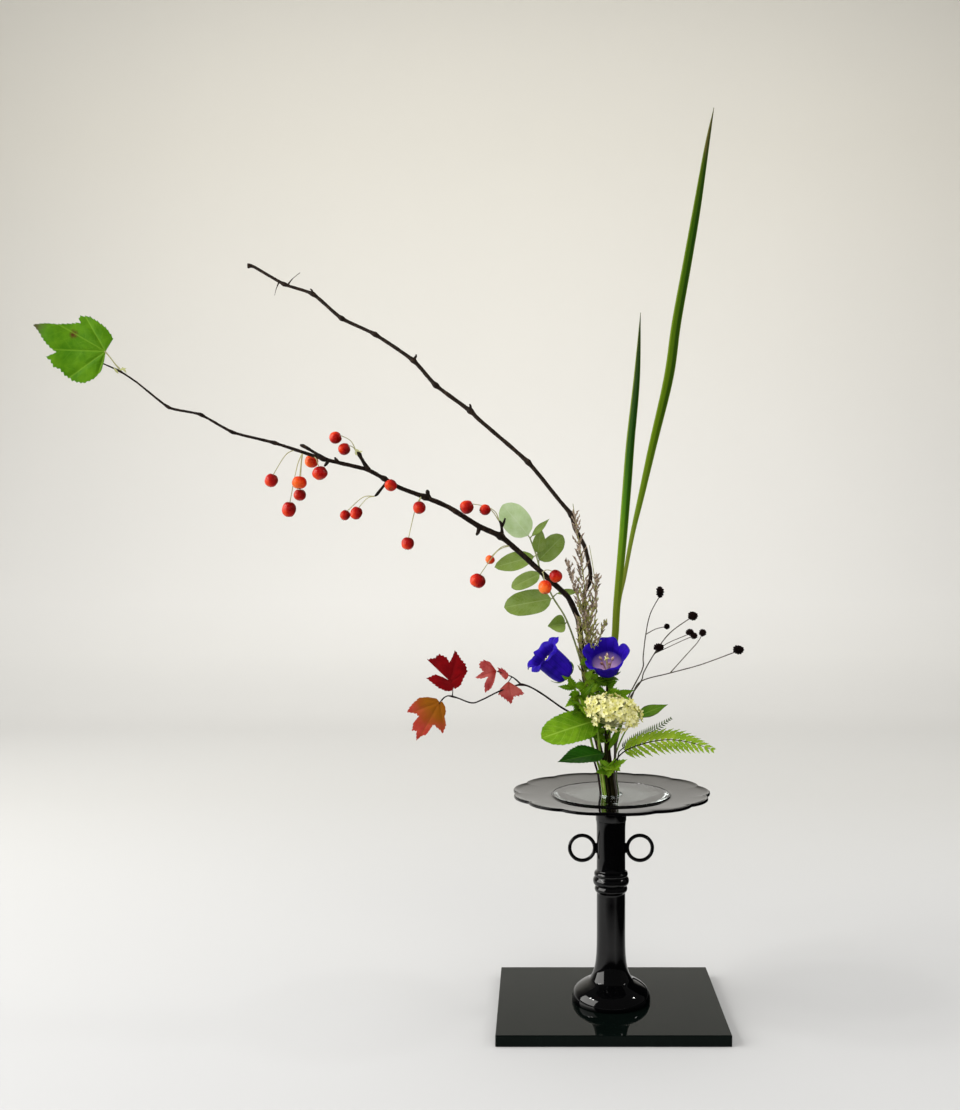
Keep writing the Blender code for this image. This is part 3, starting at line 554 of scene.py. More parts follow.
def blade_finish(name, shade_from, *heights):
    """A sword leaf: long parallel veins, and a colour that changes with (height, colour) pairs in metres. Above
    a given height its right half is darkened as painted shade, and its left edge is paled as painted light, as
    for a folded blade lit from the left.
    """
    finish = Finish(name, heights[0][1], 0.40, Specular_IOR_Level=0.06)
    across = finish.add("SeparateXYZ", {0: finish.place(True)}).outputs[1]
    up = finish.add("SeparateXYZ", {0: finish.place()}).outputs[2]
    veins = finish.math("ABSOLUTE", finish.math("SINE", finish.math("MULTIPLY", across, 34.0)))
    streak = finish.noise(900.0, 3.0, 0.6, stretch=(1.0, 1.0, 0.02))
    low, high = heights[0][0], heights[-1][0]
    height = finish.math("ADD", finish.spread(up, low, high, 0.0, 1.0), finish.math("MULTIPLY", streak, 0.10))
    face = finish.ramp(height, *[((h - low) / (high - low) * 0.95 + 0.05, colour) for h, colour in heights])
    pale = finish.blend(0.6, face, (0.26, 0.34, 0.03))
    face = finish.blend(finish.math("MULTIPLY", finish.spread(veins, 0.0, 0.5, 1.0, 0.0), 0.4), face, pale)
    # painted shade: from the given height up, the right half darkens towards a near-black green, as the side of
    # the folded blade turned from the light
    painted_shade_side = finish.math("MULTIPLY", finish.spread(across, 0.46, 0.62, 0.0, 0.72),
                            finish.spread(up, shade_from, shade_from + 0.16, 0.15, 1.0))
    face = finish.blend(painted_shade_side, face, (0.003, 0.028, 0.0005))
    # painted light: the left edge is paled, as the lit side of the folded blade
    face = finish.blend(finish.spread(across, 0.20, 0.06, 0.0, 0.9), face, pale)
    face = finish.blend(finish.spread(across, 0.90, 0.97, 0.0, 0.6), face, pale)
    finish.colour(face)
    finish.rough(finish.spread(streak, 0.3, 0.7, 0.30, 0.52))
    finish.bump(veins, 0.18, 0.6)
    return finish.material


def spread_finish(name, deep, bright, heart, heart_reach, ribs, vein=None, rust=None, rim=None):
    """A lobed leaf with veins that spread from its stalk, and a heart of another colour around it."""
    finish = Finish(name, bright, 0.48, Specular_IOR_Level=0.07)
    spot = finish.add("SeparateXYZ", {0: finish.place(True)})
    x = finish.math("MULTIPLY", finish.math("SUBTRACT", spot.outputs[0], 0.5), 2.0)
    y = finish.math("MULTIPLY", finish.math("SUBTRACT", spot.outputs[1], 0.5), 2.0)
    far = finish.math("SQRT", finish.math("ADD", finish.math("MULTIPLY", x, x), finish.math("MULTIPLY", y, y)))
    veins = None
    for angle in ribs:
        across = finish.math("ABSOLUTE", finish.math(
            "SUBTRACT", finish.math("MULTIPLY", x, math.sin(angle)),
            finish.math("MULTIPLY", y, math.cos(angle))))
        ahead = finish.math("ADD", finish.math("MULTIPLY", x, math.cos(angle)),
                            finish.math("MULTIPLY", y, math.sin(angle)))
        wing = finish.math("ABSOLUTE", finish.math("SINE", finish.math(
            "MULTIPLY", finish.math("SUBTRACT", ahead, finish.math("MULTIPLY", across, 0.8)), 22.0)))
        near = finish.spread(across, 0.05, 0.22, 0.5, 0.0)
        side = finish.math("MULTIPLY", finish.spread(wing, 0.0, 0.14, 1.0, 0.0), near)
        line = finish.math("MAXIMUM", finish.spread(across, 0.004, 0.014, 1.0, 0.0), side)
        line = finish.math("MULTIPLY", line, finish.math("GREATER_THAN", ahead, 0.0))
        veins = line if veins is None else finish.math("MAXIMUM", veins, line)
    cloud = finish.noise(60.0, 5.0, 0.65)
    face = finish.blend(finish.spread(cloud, 0.35, 0.65, 0.0, 1.0), deep, bright)
    warm = finish.spread(
        finish.math("ADD", far, finish.math("MULTIPLY", cloud, 0.5)), heart_reach, heart_reach + 0.45, 1.0, 0.0)
    face = finish.blend(warm, face, heart)
    if rust:
        blot = finish.add("Mapping", {"Vector": finish.place(), "Location": rust[0]}).outputs[0]
        blot = finish.add("VectorMath", {0: blot}, operation="LENGTH").outputs["Value"]
        blot = finish.math("ADD", blot, finish.math("MULTIPLY", finish.noise(260.0), 0.006))
        face = finish.blend(finish.spread(blot, 0.005, 0.009, 0.95, 0.0), face, rust[1])
    if rim:
        face = finish.blend(finish.spread(finish.math("ADD", far, finish.math("MULTIPLY", cloud, 0.25)), 0.92,
                                          1.08, 0.0, 1.0), face, rim)
    face = finish.blend(finish.math("MULTIPLY", veins, 0.45), face, vein or heart)
    finish.colour(face)
    net = finish.add(
        "TexVoronoi", {"Vector": finish.place(), "Scale": 700.0},
        feature="DISTANCE_TO_EDGE").outputs["Distance"]
    finish.rough(finish.spread(cloud, 0.3, 0.7, 0.4, 0.6))
    finish.bump(finish.math("SUBTRACT", net, finish.math("MULTIPLY", veins, 0.8)), 0.25, 0.6)
    return finish.material


def skin_finish(name, deep, bright, dot_and_lit_colour, wrinkle=0.0):
    """A fruit's waxy skin: painted light makes it brighter on the side the key light falls on and painted shade
    deeper on the other, with fine pale dots and a dull bloom in places.
    """
    finish = Finish(name, bright, 0.24, Specular_IOR_Level=0.22)
    # painted light and shade: the lit-side attribute set in fruit() brightens each fruit towards its lit side
    # and deepens it on the other
    lit_side = finish.add("Attribute", attribute_name="painted_lit_side").outputs["Fac"]
    cloud = finish.math("ADD", finish.math("MULTIPLY", finish.noise(150.0, 4.0, 0.6), 0.5),
                        finish.math("MULTIPLY", lit_side, 0.62))
    face = finish.ramp(cloud, (0.36, deep), (0.60, bright), (0.95, dot_and_lit_colour))
    dots = finish.add("TexVoronoi", {"Vector": finish.place(), "Scale": 900.0}).outputs["Distance"]
    speck = finish.spread(dots, 0.08, 0.2, 0.55, 0.0)
    finish.colour(finish.blend(speck, face, dot_and_lit_colour))
    finish.rough(finish.spread(finish.noise(160.0, 3.0), 0.3, 0.7, 0.2, 0.42))
    finish.bump(finish.math("ADD", speck, finish.math("MULTIPLY", finish.noise(420.0, 3.0), 0.4 + wrinkle)),
                0.09 + wrinkle * 0.3, 0.6)
    return finish.material


def petal_finish(name, deep, bright, throat, seam):
    """Bell petals: deep violet with fine long veins, and a pale throat inside."""
    finish = Finish(name, deep, 0.55, Specular_IOR_Level=0.08)
    uv = finish.add("SeparateXYZ", {0: finish.place(True)})
    around, along = uv.outputs[0], uv.outputs[1]
    veins = finish.math("ABSOLUTE", finish.math("SINE", finish.math("MULTIPLY", around, 15.0 * math.pi)))
    fine = finish.spread(veins, 0.0, 0.35, 1.0, 0.0)
    cloud = finish.noise(90.0, 4.0, 0.6)
    face = finish.blend(finish.spread(cloud, 0.35, 0.7, 0.0, 1.0), deep, bright)
    face = finish.blend(finish.math("MULTIPLY", fine, 0.45), face, seam)
    inner = finish.add("Attribute", attribute_name="throat").outputs["Fac"]
    pale = finish.math("MULTIPLY", inner, finish.spread(along, 0.12, 0.50, 1.0, 0.0), True)
    finish.colour(finish.blend(pale, face, throat))
    finish.bump(finish.math("ADD", veins, finish.math("MULTIPLY", cloud, 0.6)), 0.25, 0.7)
    return finish.material


def stalk_finish(name, low, high, roughness=0.5, hairs=0.15, cloud_scale=38.0):
    """A green or wiry stalk: fine lengthwise ridges and a change of colour from place to place."""
    finish = Finish(name, low, roughness, Specular_IOR_Level=0.12)
    cloud = finish.noise(cloud_scale, 4.0, 0.6)
    fine = finish.noise(700.0, 3.0, 0.6, stretch=(1.0, 1.0, 0.08))
    finish.colour(finish.blend(finish.spread(finish.math("ADD", cloud, finish.math("MULTIPLY", fine, 0.3)),
                                             0.45, 0.85, 0.0, 1.0), low, high))
    finish.rough(finish.spread(fine, 0.3, 0.7, roughness - 0.1, roughness + 0.15))
    finish.bump(fine, hairs, 0.6)
    return finish.material


def water_finish():
    finish = Finish("still_water", (0.42, 0.47, 0.46), 0.0, IOR=1.36, Transmission_Weight=1.0)
    ripple = finish.noise(26.0, 2.0, 0.4)
    finish.bump(ripple, 0.12, 0.25)
    finish.colour(finish.blend(finish.spread(ripple, 0.3, 0.7, 0.0, 1.0), (0.38, 0.43, 0.42),
                               (0.46, 0.50, 0.49)))
    finish.rough(finish.spread(ripple, 0.3, 0.7, 0.0, 0.02))
    return finish.material


def straw_finish():
    finish = Finish("dry_straw", (0.52, 0.40, 0.19), 0.8)
    fibres = finish.noise(500.0, 3.0, 0.6, stretch=(1.0, 1.0, 0.03))
    finish.colour(finish.ramp(fibres, (0.3, (0.30, 0.21, 0.09)), (0.55, (0.52, 0.40, 0.19)),
                              (0.75, (0.66, 0.54, 0.30))))
    finish.bump(fibres, 0.4, 0.8)
    return finish.material


FINISH = {
    "board": lacquer("board_lacquer", (0.0015, 0.0030, 0.0025), 0.03, 0.14, 1.17, (0.86, 1.0, 0.93)),
    "vase": lacquer("vase_lacquer", (0.0008, 0.0008, 0.001), 0.05, 0.16, 1.42),
    "water": water_finish(),
    "straw": straw_finish(),
    "crabapple_bark": bark("crabapple_bark", (0.003, 0.0015, 0.001), (0.010, 0.005, 0.003),
                           (0.055, 0.032, 0.020), 260.0, 0.10),
    "bare_bark": bark("bare_bark", (0.004, 0.002, 0.001), (0.013, 0.007, 0.004), (0.065, 0.040, 0.024), 300.0,
                      0.08),
    "sage_bark": stalk_finish("sage_twig_bark", (0.13, 0.17, 0.06), (0.26, 0.28, 0.14), 0.6),
    "maple_bark": bark("maple_bark", (0.003, 0.0015, 0.0015), (0.012, 0.005, 0.005), (0.07, 0.04, 0.035), 420.0,
                       0.06, 0.5),
    "fruit_red": skin_finish("fruit_skin_red", (0.13, 0.0, 0.0), (0.36, 0.002, 0.001), (0.74, 0.055, 0.004)),
    "fruit_orange": skin_finish("fruit_skin_orange", (0.45, 0.012, 0.001), (0.70, 0.065, 0.004),
                                (0.86, 0.20, 0.03), 0.3),
    "fruit_stalk": stalk_finish("fruit_stalk_skin", (0.26, 0.26, 0.12), (0.44, 0.42, 0.22), 0.5),
    "calyx": stalk_finish("fruit_eye", (0.035, 0.020, 0.012), (0.10, 0.06, 0.03), 0.7),
    "tip_leaf": spread_finish("tip_leaf_face", (0.045, 0.150, 0.001), (0.085, 0.215, 0.003),
                              (0.050, 0.150, 0.001), 0.15, (2.62, 3.1, 3.75, 2.1, 4.4), vein=(0.17, 0.33, 0.02),
                              rust=((0.5755, 0.062, -0.746), (0.07, 0.02, 0.004)), rim=(0.05, 0.05, 0.01)),
    "tall_sword": blade_finish("tall_blade_face", 0.52, (0.26, (0.20, 0.22, 0.045)),
                               (0.50, (0.20, 0.24, 0.035)), (0.58, (0.13, 0.22, 0.012)),
                               (0.65, (0.10, 0.19, 0.003)), (0.72, (0.075, 0.15, 0.002)),
                               (0.90, (0.025, 0.085, 0.001)), (0.99, (0.035, 0.075, 0.002)),
                               (1.015, (0.09, 0.07, 0.02))),
    # the short blade's colours turn near black towards its top: painted shade, for a blade lit from behind
    "short_sword": blade_finish("short_blade_face", 0.40, (0.26, (0.18, 0.23, 0.02)),
                                (0.46, (0.16, 0.22, 0.015)), (0.53, (0.085, 0.19, 0.004)),
                                (0.585, (0.035, 0.13, 0.002)), (0.64, (0.008, 0.060, 0.001)),
                                (0.70, (0.003, 0.030, 0.001)), (0.76, (0.002, 0.018, 0.001)),
                                (0.78, (0.01, 0.015, 0.003))),
    "sage": leaf_finish("sage_leaf_face", (0.10, 0.16, 0.018), (0.155, 0.225, 0.035), (0.26, 0.33, 0.11), 11.0,
                        bloom=(0.26, 0.34, 0.13), roughness=0.62, glow=0.05),
    "pale_sage": leaf_finish("pale_sage_face", (0.30, 0.42, 0.18), (0.42, 0.54, 0.30), (0.46, 0.56, 0.34), 11.0,
                             bloom=(0.52, 0.62, 0.42), roughness=0.62, glow=0.05),
    "maple_1": spread_finish("maple_deep_red", (0.11, 0.0, 0.002), (0.21, 0.001, 0.003), (0.17, 0.003, 0.004),
                             0.05, (1.3, 2.3, 3.0, 0.5)),
    "maple_2": spread_finish("maple_orange_red", (0.28, 0.014, 0.010), (0.42, 0.055, 0.036),
                             (0.24, 0.075, 0.003), 0.5, (3.5, 4.2, 4.9, 2.9)),
    "maple_3": spread_finish("maple_rose", (0.28, 0.02, 0.025), (0.44, 0.09, 0.08), (0.28, 0.015, 0.01), 0.25,
                             (2.5, 3.4, 4.3)),
    "maple_4": spread_finish("maple_pink", (0.30, 0.03, 0.030), (0.46, 0.12, 0.10), (0.34, 0.05, 0.03), 0.2,
                             (4.0, 4.9, 5.6)),
    "maple_5": spread_finish("maple_bud_rose", (0.26, 0.02, 0.025), (0.42, 0.09, 0.08), (0.26, 0.02, 0.01), 0.2,
                             (2.3,)),
    "plume": stalk_finish("plume_straw", (0.025, 0.010, 0.004), (0.46, 0.36, 0.27), 0.75, cloud_scale=300.0),
    "plume_stalk": stalk_finish("plume_stalk", (0.075, 0.075, 0.012), (0.40, 0.39, 0.12), 0.6,
                                cloud_scale=260.0),
    "bell": petal_finish("bell_petal", (0.008, 0.001, 0.20), (0.024, 0.004, 0.38), (0.74, 0.50, 0.76),
                         (0.003, 0.0, 0.10)),
    "bell_green": stalk_finish("bell_stem_skin", (0.10, 0.20, 0.015), (0.26, 0.40, 0.06), 0.5),
    "bell_leaf": leaf_finish("bell_leaf_face", (0.025, 0.09, 0.001), (0.12, 0.24, 0.004), (0.24, 0.38, 0.04),
                             9.0),
    "stamen": stalk_finish("stamen_skin", (0.34, 0.17, 0.13), (0.66, 0.48, 0.36), 0.7),
    "burnet": stalk_finish("burnet_wire", (0.045, 0.038, 0.030), (0.12, 0.105, 0.085), 0.55),
    # near-black colour for several stems in the bundle at the vase's mouth
    "near_black_stem": stalk_finish("near_black_stem_skin", (0.004, 0.003, 0.001), (0.022, 0.020, 0.004), 0.3),
    "burnet_head": stalk_finish("burnet_floret", (0.001, 0.0005, 0.0005), (0.010, 0.003, 0.002), 0.9, 0.3),
    "broad": leaf_finish("broad_leaf_face", (0.075, 0.19, 0.003), (0.19, 0.36, 0.010), (0.32, 0.50, 0.06), 7.0),
    "dark": leaf_finish("dark_leaf_face", (0.002, 0.025, 0.001), (0.012, 0.075, 0.003), (0.07, 0.17, 0.02), 8.0,
                        roughness=0.36),
    "right": leaf_finish("right_leaf_face", (0.030, 0.10, 0.004), (0.085, 0.17, 0.010), (0.20, 0.30, 0.05), 8.0,
                         edge=(0.05, 0.04, 0.02)),
    "front": leaf_finish("front_leaf_face", (0.10, 0.24, 0.006), (0.26, 0.46, 0.015), (0.36, 0.56, 0.08), 6.0),
    "fern": leaf_finish("fern_face", (0.13, 0.25, 0.008), (0.26, 0.38, 0.020), (0.36, 0.46, 0.07), 12.0,
                        glow=0.05),
    "fern_grey": leaf_finish("grey_fern_face", (0.025, 0.045, 0.012), (0.12, 0.16, 0.07), (0.40, 0.44, 0.30),
                             10.0, roughness=0.6),
    "cream": stalk_finish("cream_floret_skin", (0.52, 0.50, 0.07), (0.95, 0.92, 0.58), 0.5, 0.1, 150.0),
    "cream_heart": stalk_finish("floret_heart", (0.42, 0.38, 0.02), (0.62, 0.60, 0.08), 0.6, 0.1),
    "cream_stalk": stalk_finish("floret_stalk", (0.32, 0.34, 0.12), (0.60, 0.60, 0.34), 0.5, 0.1),
}


# ---------------------------------------------------------------- stage, camera and light

def studio():
    """A pale floor that sweeps up into a wall, its colour carrying painted light and shade, soft light from the
    left, and the viewer's camera.
    """
    width, length, back, radius, steps, wall_height = 14.0, 7.0, 2.0, 1.2, 16, 4.0
    bpy.ops.mesh.primitive_plane_add(size=1.0)
    floor = bpy.context.object
    floor.name = "studio_floor"
    edit(floor)
    bpy.ops.mesh.select_all(action="SELECT")
    bpy.ops.transform.resize(value=(width, length, 1.0), center_override=(0.0, 0.0, 0.0))
    bpy.ops.transform.translate(value=(0.0, back - length / 2.0, 0.0))
    bpy.ops.mesh.select_all(action="DESELECT")
    leave()
    for edge in floor.data.edges:
        ends = [floor.data.vertices[index].co.y for index in edge.vertices]
        edge.select = min(ends) > back - 0.01
    take(floor)
    bpy.ops.object.mode_set(mode="EDIT")
    bpy.ops.mesh.select_mode(type="EDGE")
    for number in range(steps):
        angle = (number + 0.5) / steps * math.pi / 2.0
        reach = radius * math.pi / 2.0 / steps
        bpy.ops.mesh.extrude_edges_move(
            TRANSFORM_OT_translate={"value": (0.0, reach * math.cos(angle), reach * math.sin(angle))}
        )
    bpy.ops.mesh.extrude_edges_move(TRANSFORM_OT_translate={"value": (0.0, 0.0, wall_height)})
    leave()
    shade(floor, 30.0)
    sweep = Finish("pale_sweep", (0.74, 0.735, 0.72), 0.9, Specular_IOR_Level=0.0)
    spot = sweep.add("SeparateXYZ", {0: sweep.place()})
    side, depth, height = spot.outputs
    # painted light and shade: the floor is darker in front and lighter towards the back, and the wall changes
    # with height, for the studio's fall of light
    floor_painted_light = sweep.ramp(sweep.spread(depth, -0.2, 2.2, 0.0, 1.0), (0.0, (0.535, 0.540, 0.550)),
                        (0.25, (0.560, 0.564, 0.568)), (0.55, (0.60, 0.60, 0.59)), (1.0, (0.71, 0.708, 0.695)))
    wall = sweep.ramp(sweep.spread(height, 0.0, 2.0, 0.0, 1.0), (0.0, (0.74, 0.738, 0.72)),
                      (0.15, (0.81, 0.805, 0.785)), (0.4, (0.81, 0.80, 0.77)), (1.0, (0.775, 0.752, 0.685)))
    painted_light_tint = sweep.blend(sweep.spread(height, 0.0, 0.15, 0.0, 1.0), floor_painted_light, wall)
    painted_light_tint = sweep.blend(sweep.spread(sweep.noise(0.8, 3.0), 0.3, 0.7, 0.0, 0.12), painted_light_tint, (0.66, 0.66, 0.64))
    # painted shade: the floor and wall darken towards the left
    painted_light_tint = sweep.blend(sweep.spread(side, -1.6, 0.8, 0.105, 0.0), painted_light_tint, (0.0, 0.0, 0.0))
    # painted shade seen only in reflections: in front, on the right and far right the floor and wall are
    # painted near black for glossy rays, as if the room were unlit there, so that the lacquer's middle reflects
    # black
    near = sweep.spread(depth, -0.42, -0.24, 1.0, 0.0)
    right = sweep.math("MULTIPLY", sweep.spread(side, 0.14, 0.30, 0.0, 1.0),
                       sweep.spread(height, 0.3, 0.6, 1.0, 0.0))
    far_right = sweep.spread(side, 1.4, 1.9, 0.0, 1.0)
    unlit = sweep.math("MAXIMUM", sweep.math("MAXIMUM", near, right), far_right)
    in_gloss = sweep.math("MULTIPLY", sweep.add("LightPath").outputs["Is Glossy Ray"], unlit)
    sweep.colour(sweep.blend(in_gloss, painted_light_tint, (0.01, 0.01, 0.01)))
    # painted light: past the lamps' reach the floor glows for camera rays, so that it keeps the paleness of the
    # lit floor
    painted_glow_reach = sweep.math("MAXIMUM", sweep.spread(depth, -2.9, -3.6, 0.0, 1.0),
                        sweep.spread(side, -2.3, -3.2, 0.0, 1.0))
    sweep.shader.inputs["Emission Color"].default_value = (0.60, 0.60, 0.58, 1.0)
    glow = sweep.math("MULTIPLY", sweep.add("LightPath").outputs["Is Camera Ray"], painted_glow_reach)
    sweep.join(sweep.math("MULTIPLY", glow, 0.75), sweep.shader.inputs["Emission Strength"])
    paint(floor, sweep.material)

    world = bpy.data.worlds.new("soft_room")
    bpy.context.scene.world = world
    world.use_nodes = True
    sky = world.node_tree
    sky.nodes["Background"].inputs["Color"].default_value = (1.0, 0.99, 0.97, 1.0)
    seen = sky.nodes.new("ShaderNodeMapRange")
    sky.links.new(sky.nodes.new("ShaderNodeLightPath").outputs["Is Camera Ray"], seen.inputs[0])
    seen.inputs[3].default_value = 0.06
    seen.inputs[4].default_value = 0.55
    sky.links.new(seen.outputs[0], sky.nodes["Background"].inputs["Strength"])

    lamps = [
        # name, place, target, width, height, power, seen in gloss
        ("window_left", (-2.4, -0.5, 1.2), (0.0, 0.0, 0.5), 2.6, 2.0, 62.0, True),
        ("ceiling", (0.0, 0.2, 3.0), (0.0, 0.3, 0.0), 4.0, 4.0, 58.0, False),
        ("front_fill", (0.6, -3.2, 1.6), (0.0, 0.0, 0.5), 3.0, 2.2, 34.0, False),
        ("right_fill", (2.8, -0.4, 1.0), (0.0, 0.0, 0.5), 2.0, 2.0, 12.0, False),
        ("corner_fill", (-2.4, 0.6, 2.6), (-1.7, 2.8, 2.1), 1.6, 1.6, 15.0, False),
        ("left_spark_a", (-1.70, -0.60, 1.7), (0.0, 0.0, 0.15), 0.14, 0.20, 4.0, True),
        ("left_spark_b", (-1.80, -0.15, 1.8), (0.0, 0.0, 0.15), 0.14, 0.20, 4.0, True),
        ("right_spark", (1.75, 0.05, 1.7), (0.0, 0.0, 0.15), 0.14, 0.20, 4.0, True),
    ]
    for name, place, target, width, height, power, glossy in lamps:
        data = bpy.data.lights.new(name, "AREA")
        data.shape = "RECTANGLE"
        data.size, data.size_y = width, height
        data.energy = power
        data.color = (1.0, 0.985, 0.955)
        lamp = bpy.data.objects.new(name, data)
        bpy.context.collection.objects.link(lamp)
        lamp.location = place
        lamp.rotation_euler = (Vector(place) - Vector(target)).to_track_quat("Z", "Y").to_euler()
        lamp.visible_camera = False
        lamp.visible_glossy = glossy

    eye = bpy.data.cameras.new("viewer")
    eye.lens = 39.57
    eye.shift_x = -0.0535
    eye.shift_y = -0.0162
    camera = bpy.data.objects.new("viewer", eye)
    bpy.context.collection.objects.link(camera)
    camera.location = (-0.0772, -1.3664, 0.5291)
    camera.rotation_euler = (math.radians(90.0), 0.0, 0.0)
    bpy.context.scene.camera = camera
    view = bpy.context.scene.view_settings
    view.view_transform = "Standard"
    view.exposure = 0.42


# ---------------------------------------------------------------- vase

RIM_LOBES = 13
RIM_RADIUS = 110.8
RIM_LOBE_DEPTH = 5.6
RIM_FIRST_NOTCH = math.radians(16.0)
LOBE_START = 84.0


def rim_factor(angle):
    phase = RIM_LOBES * (angle - RIM_FIRST_NOTCH) / 2.0
    return 1.0 - RIM_LOBE_DEPTH / RIM_RADIUS * (1.0 - abs(math.sin(phase)) ** 0.6)


def vase():
    """The footed stem, the scalloped plate and the two ring handles."""
    body = ring_stack("vase_body", [
        (2.0, 28.2), (24.0, 24.0), (35.0, 18.0), (37.0, 13.2), (37.6, 12.3), (43.2, 12.3), (43.7, 12.6),
        (43.9, 13.6), (43.9, 15.6), (43.6, 17.6), (42.9, 20.0), (41.9, 22.4), (40.4, 24.6), (38.2, 26.7),
        (35.2, 28.9), (31.6, 31.0), (28.0, 32.9), (25.4, 34.2), (23.9, 35.2), (23.2, 36.4), (22.4, 37.8),
        (21.2, 40.0), (19.8, 43.2), (18.7, 46.6), (17.8, 51.0), (17.1, 56.0), (16.5, 63.0), (16.15, 72.0),
        (16.0, 84.0), (16.0, 100.0), (16.0, 120.0), (16.0, 129.6), (16.1, 131.4), (16.5, 132.4), (17.3, 133.0),
        (18.1, 134.2), (18.4, 135.8), (18.1, 137.4), (17.4, 138.6), (17.1, 139.2), (17.6, 139.8), (18.9, 140.8),
        (19.9, 142.6), (20.2, 144.7), (19.9, 146.8), (19.0, 148.4), (18.1, 149.2), (17.9, 149.8), (18.4, 150.4),
        (18.9, 151.6), (18.9, 153.2), (18.3, 154.6), (17.2, 155.6), (16.3, 156.2), (16.0, 157.2), (16.0, 170.0),
        (16.0, 190.0), (16.0, 200.0), (16.1, 206.0), (16.4, 210.0), (16.6, 211.7), (14.6, 211.7), (14.5, 227.9),
        (12.7, 227.9), (12.6, 200.0), (12.6, 61.0), (2.0, 60.2),
    ], 96)
    paint(body, FINISH["vase"])
    hand_in(body, "vase_body", "vase_black", "usubata_body")

    plate = ring_stack("vase_plate", [
        (14.85, 228.4), (14.85, 212.1), (16.8, 212.0), (17.2, 212.6), (17.2, 221.0), (17.6, 224.0),
        (19.2, 226.8), (23.0, 228.9), (30.0, 229.4), (45.0, 229.8), (57.0, 230.6), (62.0, 233.2), (66.0, 236.2),
        (72.0, 237.2), (84.0, 238.4), (98.0, 239.8), (104.0, 240.5), (109.6, 241.2), (110.6, 241.7),
        (110.9, 242.9), (110.7, 244.0), (109.9, 244.7), (108.9, 244.7), (107.9, 244.2), (106.6, 243.6),
        (102.0, 243.1), (95.0, 242.5), (88.0, 242.0), (80.0, 241.5), (72.0, 241.0), (68.2, 240.8),
        (67.4, 240.85), (66.9, 241.2), (66.5, 242.0), (65.9, 242.4), (65.2, 242.2), (64.9, 241.6),
        (63.3, 239.9), (61.6, 237.8), (58.6, 235.0), (56.0, 233.8), (48.0, 233.5), (30.0, 233.5), (20.0, 233.3),
        (15.6, 231.6), (12.7, 228.8),
    ], RIM_LOBES * 20, cap=False)
    for vertex in plate.data.vertices:
        x, y = vertex.co.x / MM, vertex.co.y / MM
        radius = math.hypot(x, y)
        if radius > LOBE_START:
            share = ((radius - LOBE_START) / (RIM_RADIUS - LOBE_START)) ** 1.4
            pull = 1.0 - share * (1.0 - rim_factor(math.atan2(y, x)))
            vertex.co.x *= pull
            vertex.co.y *= pull
    close_wall(plate)
    paint(plate, FINISH["vase"])
    hand_in(plate, "vase_plate", "vase_black", "usubata_plate")

    for side, word in ((-1.0, "left"), (1.0, "right")):
        centre = VASE_X + side * (16.3 + 16.0)
        bpy.ops.mesh.primitive_torus_add(
            major_segments=72, minor_segments=20, major_radius=13.95 * MM, minor_radius=2.05 * MM,
            location=(centre * MM, 0.0, 181.0 * MM), rotation=(math.pi / 2.0, 0.0, 0.0),
        )
        ring = bpy.context.object
        settle(ring)
        lug_face = (centre - side * 14.6) * MM
        pick_faces(ring, lambda face: side * (face.center.x - lug_face) < 0.0 and side * face.normal.x < -0.2
                   and abs(face.center.z - 0.181) < 4.8 * MM)
        bpy.ops.mesh.extrude_region_move(TRANSFORM_OT_translate={"value": (-side * 0.4 * MM, 0.0, 0.0)})
        bpy.ops.transform.resize(value=(0.05, 1.2, 1.05),
                                 center_override=((VASE_X + side * 15.4) * MM, 0.0, 0.181))
        leave()
        tidy_mesh(ring, 0.002)
        shade(ring, 40.0)
        paint(ring, FINISH["vase"])
        hand_in(ring, "ring_" + word, "vase_black", "ring_handle_" + word)


def well_water():
    """Still water that stands a little proud of the well's edge, and reaches in to the stems."""
    profile = [
        (12.9, 233.9), (20.0, 233.8), (40.0, 233.8), (55.6, 234.0), (58.3, 235.3), (61.3, 238.1), (63.0, 240.1),
        (64.5, 241.3), (64.8, 241.7), (64.6, 241.95), (63.8, 242.0), (61.8, 242.0),
        (60.0, 242.0), (50.0, 242.0), (30.0, 242.0), (16.0, 242.0), (13.2, 242.0), (12.9, 241.7),
    ]
    surface = ring_stack("well_water", profile, 96, cap=False)
    close_wall(surface)
    paint(surface, FINISH["water"])
    hand_in(surface, "well_water", "still_water", "water")


def carried_over():
    """The board and the straw keep their shape and get their finish."""
    paint(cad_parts["display_board"], FINISH["board"])
    paint(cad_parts["straw_holder"], FINISH["straw"])


# ---------------------------------------------------------------- branches and fruits

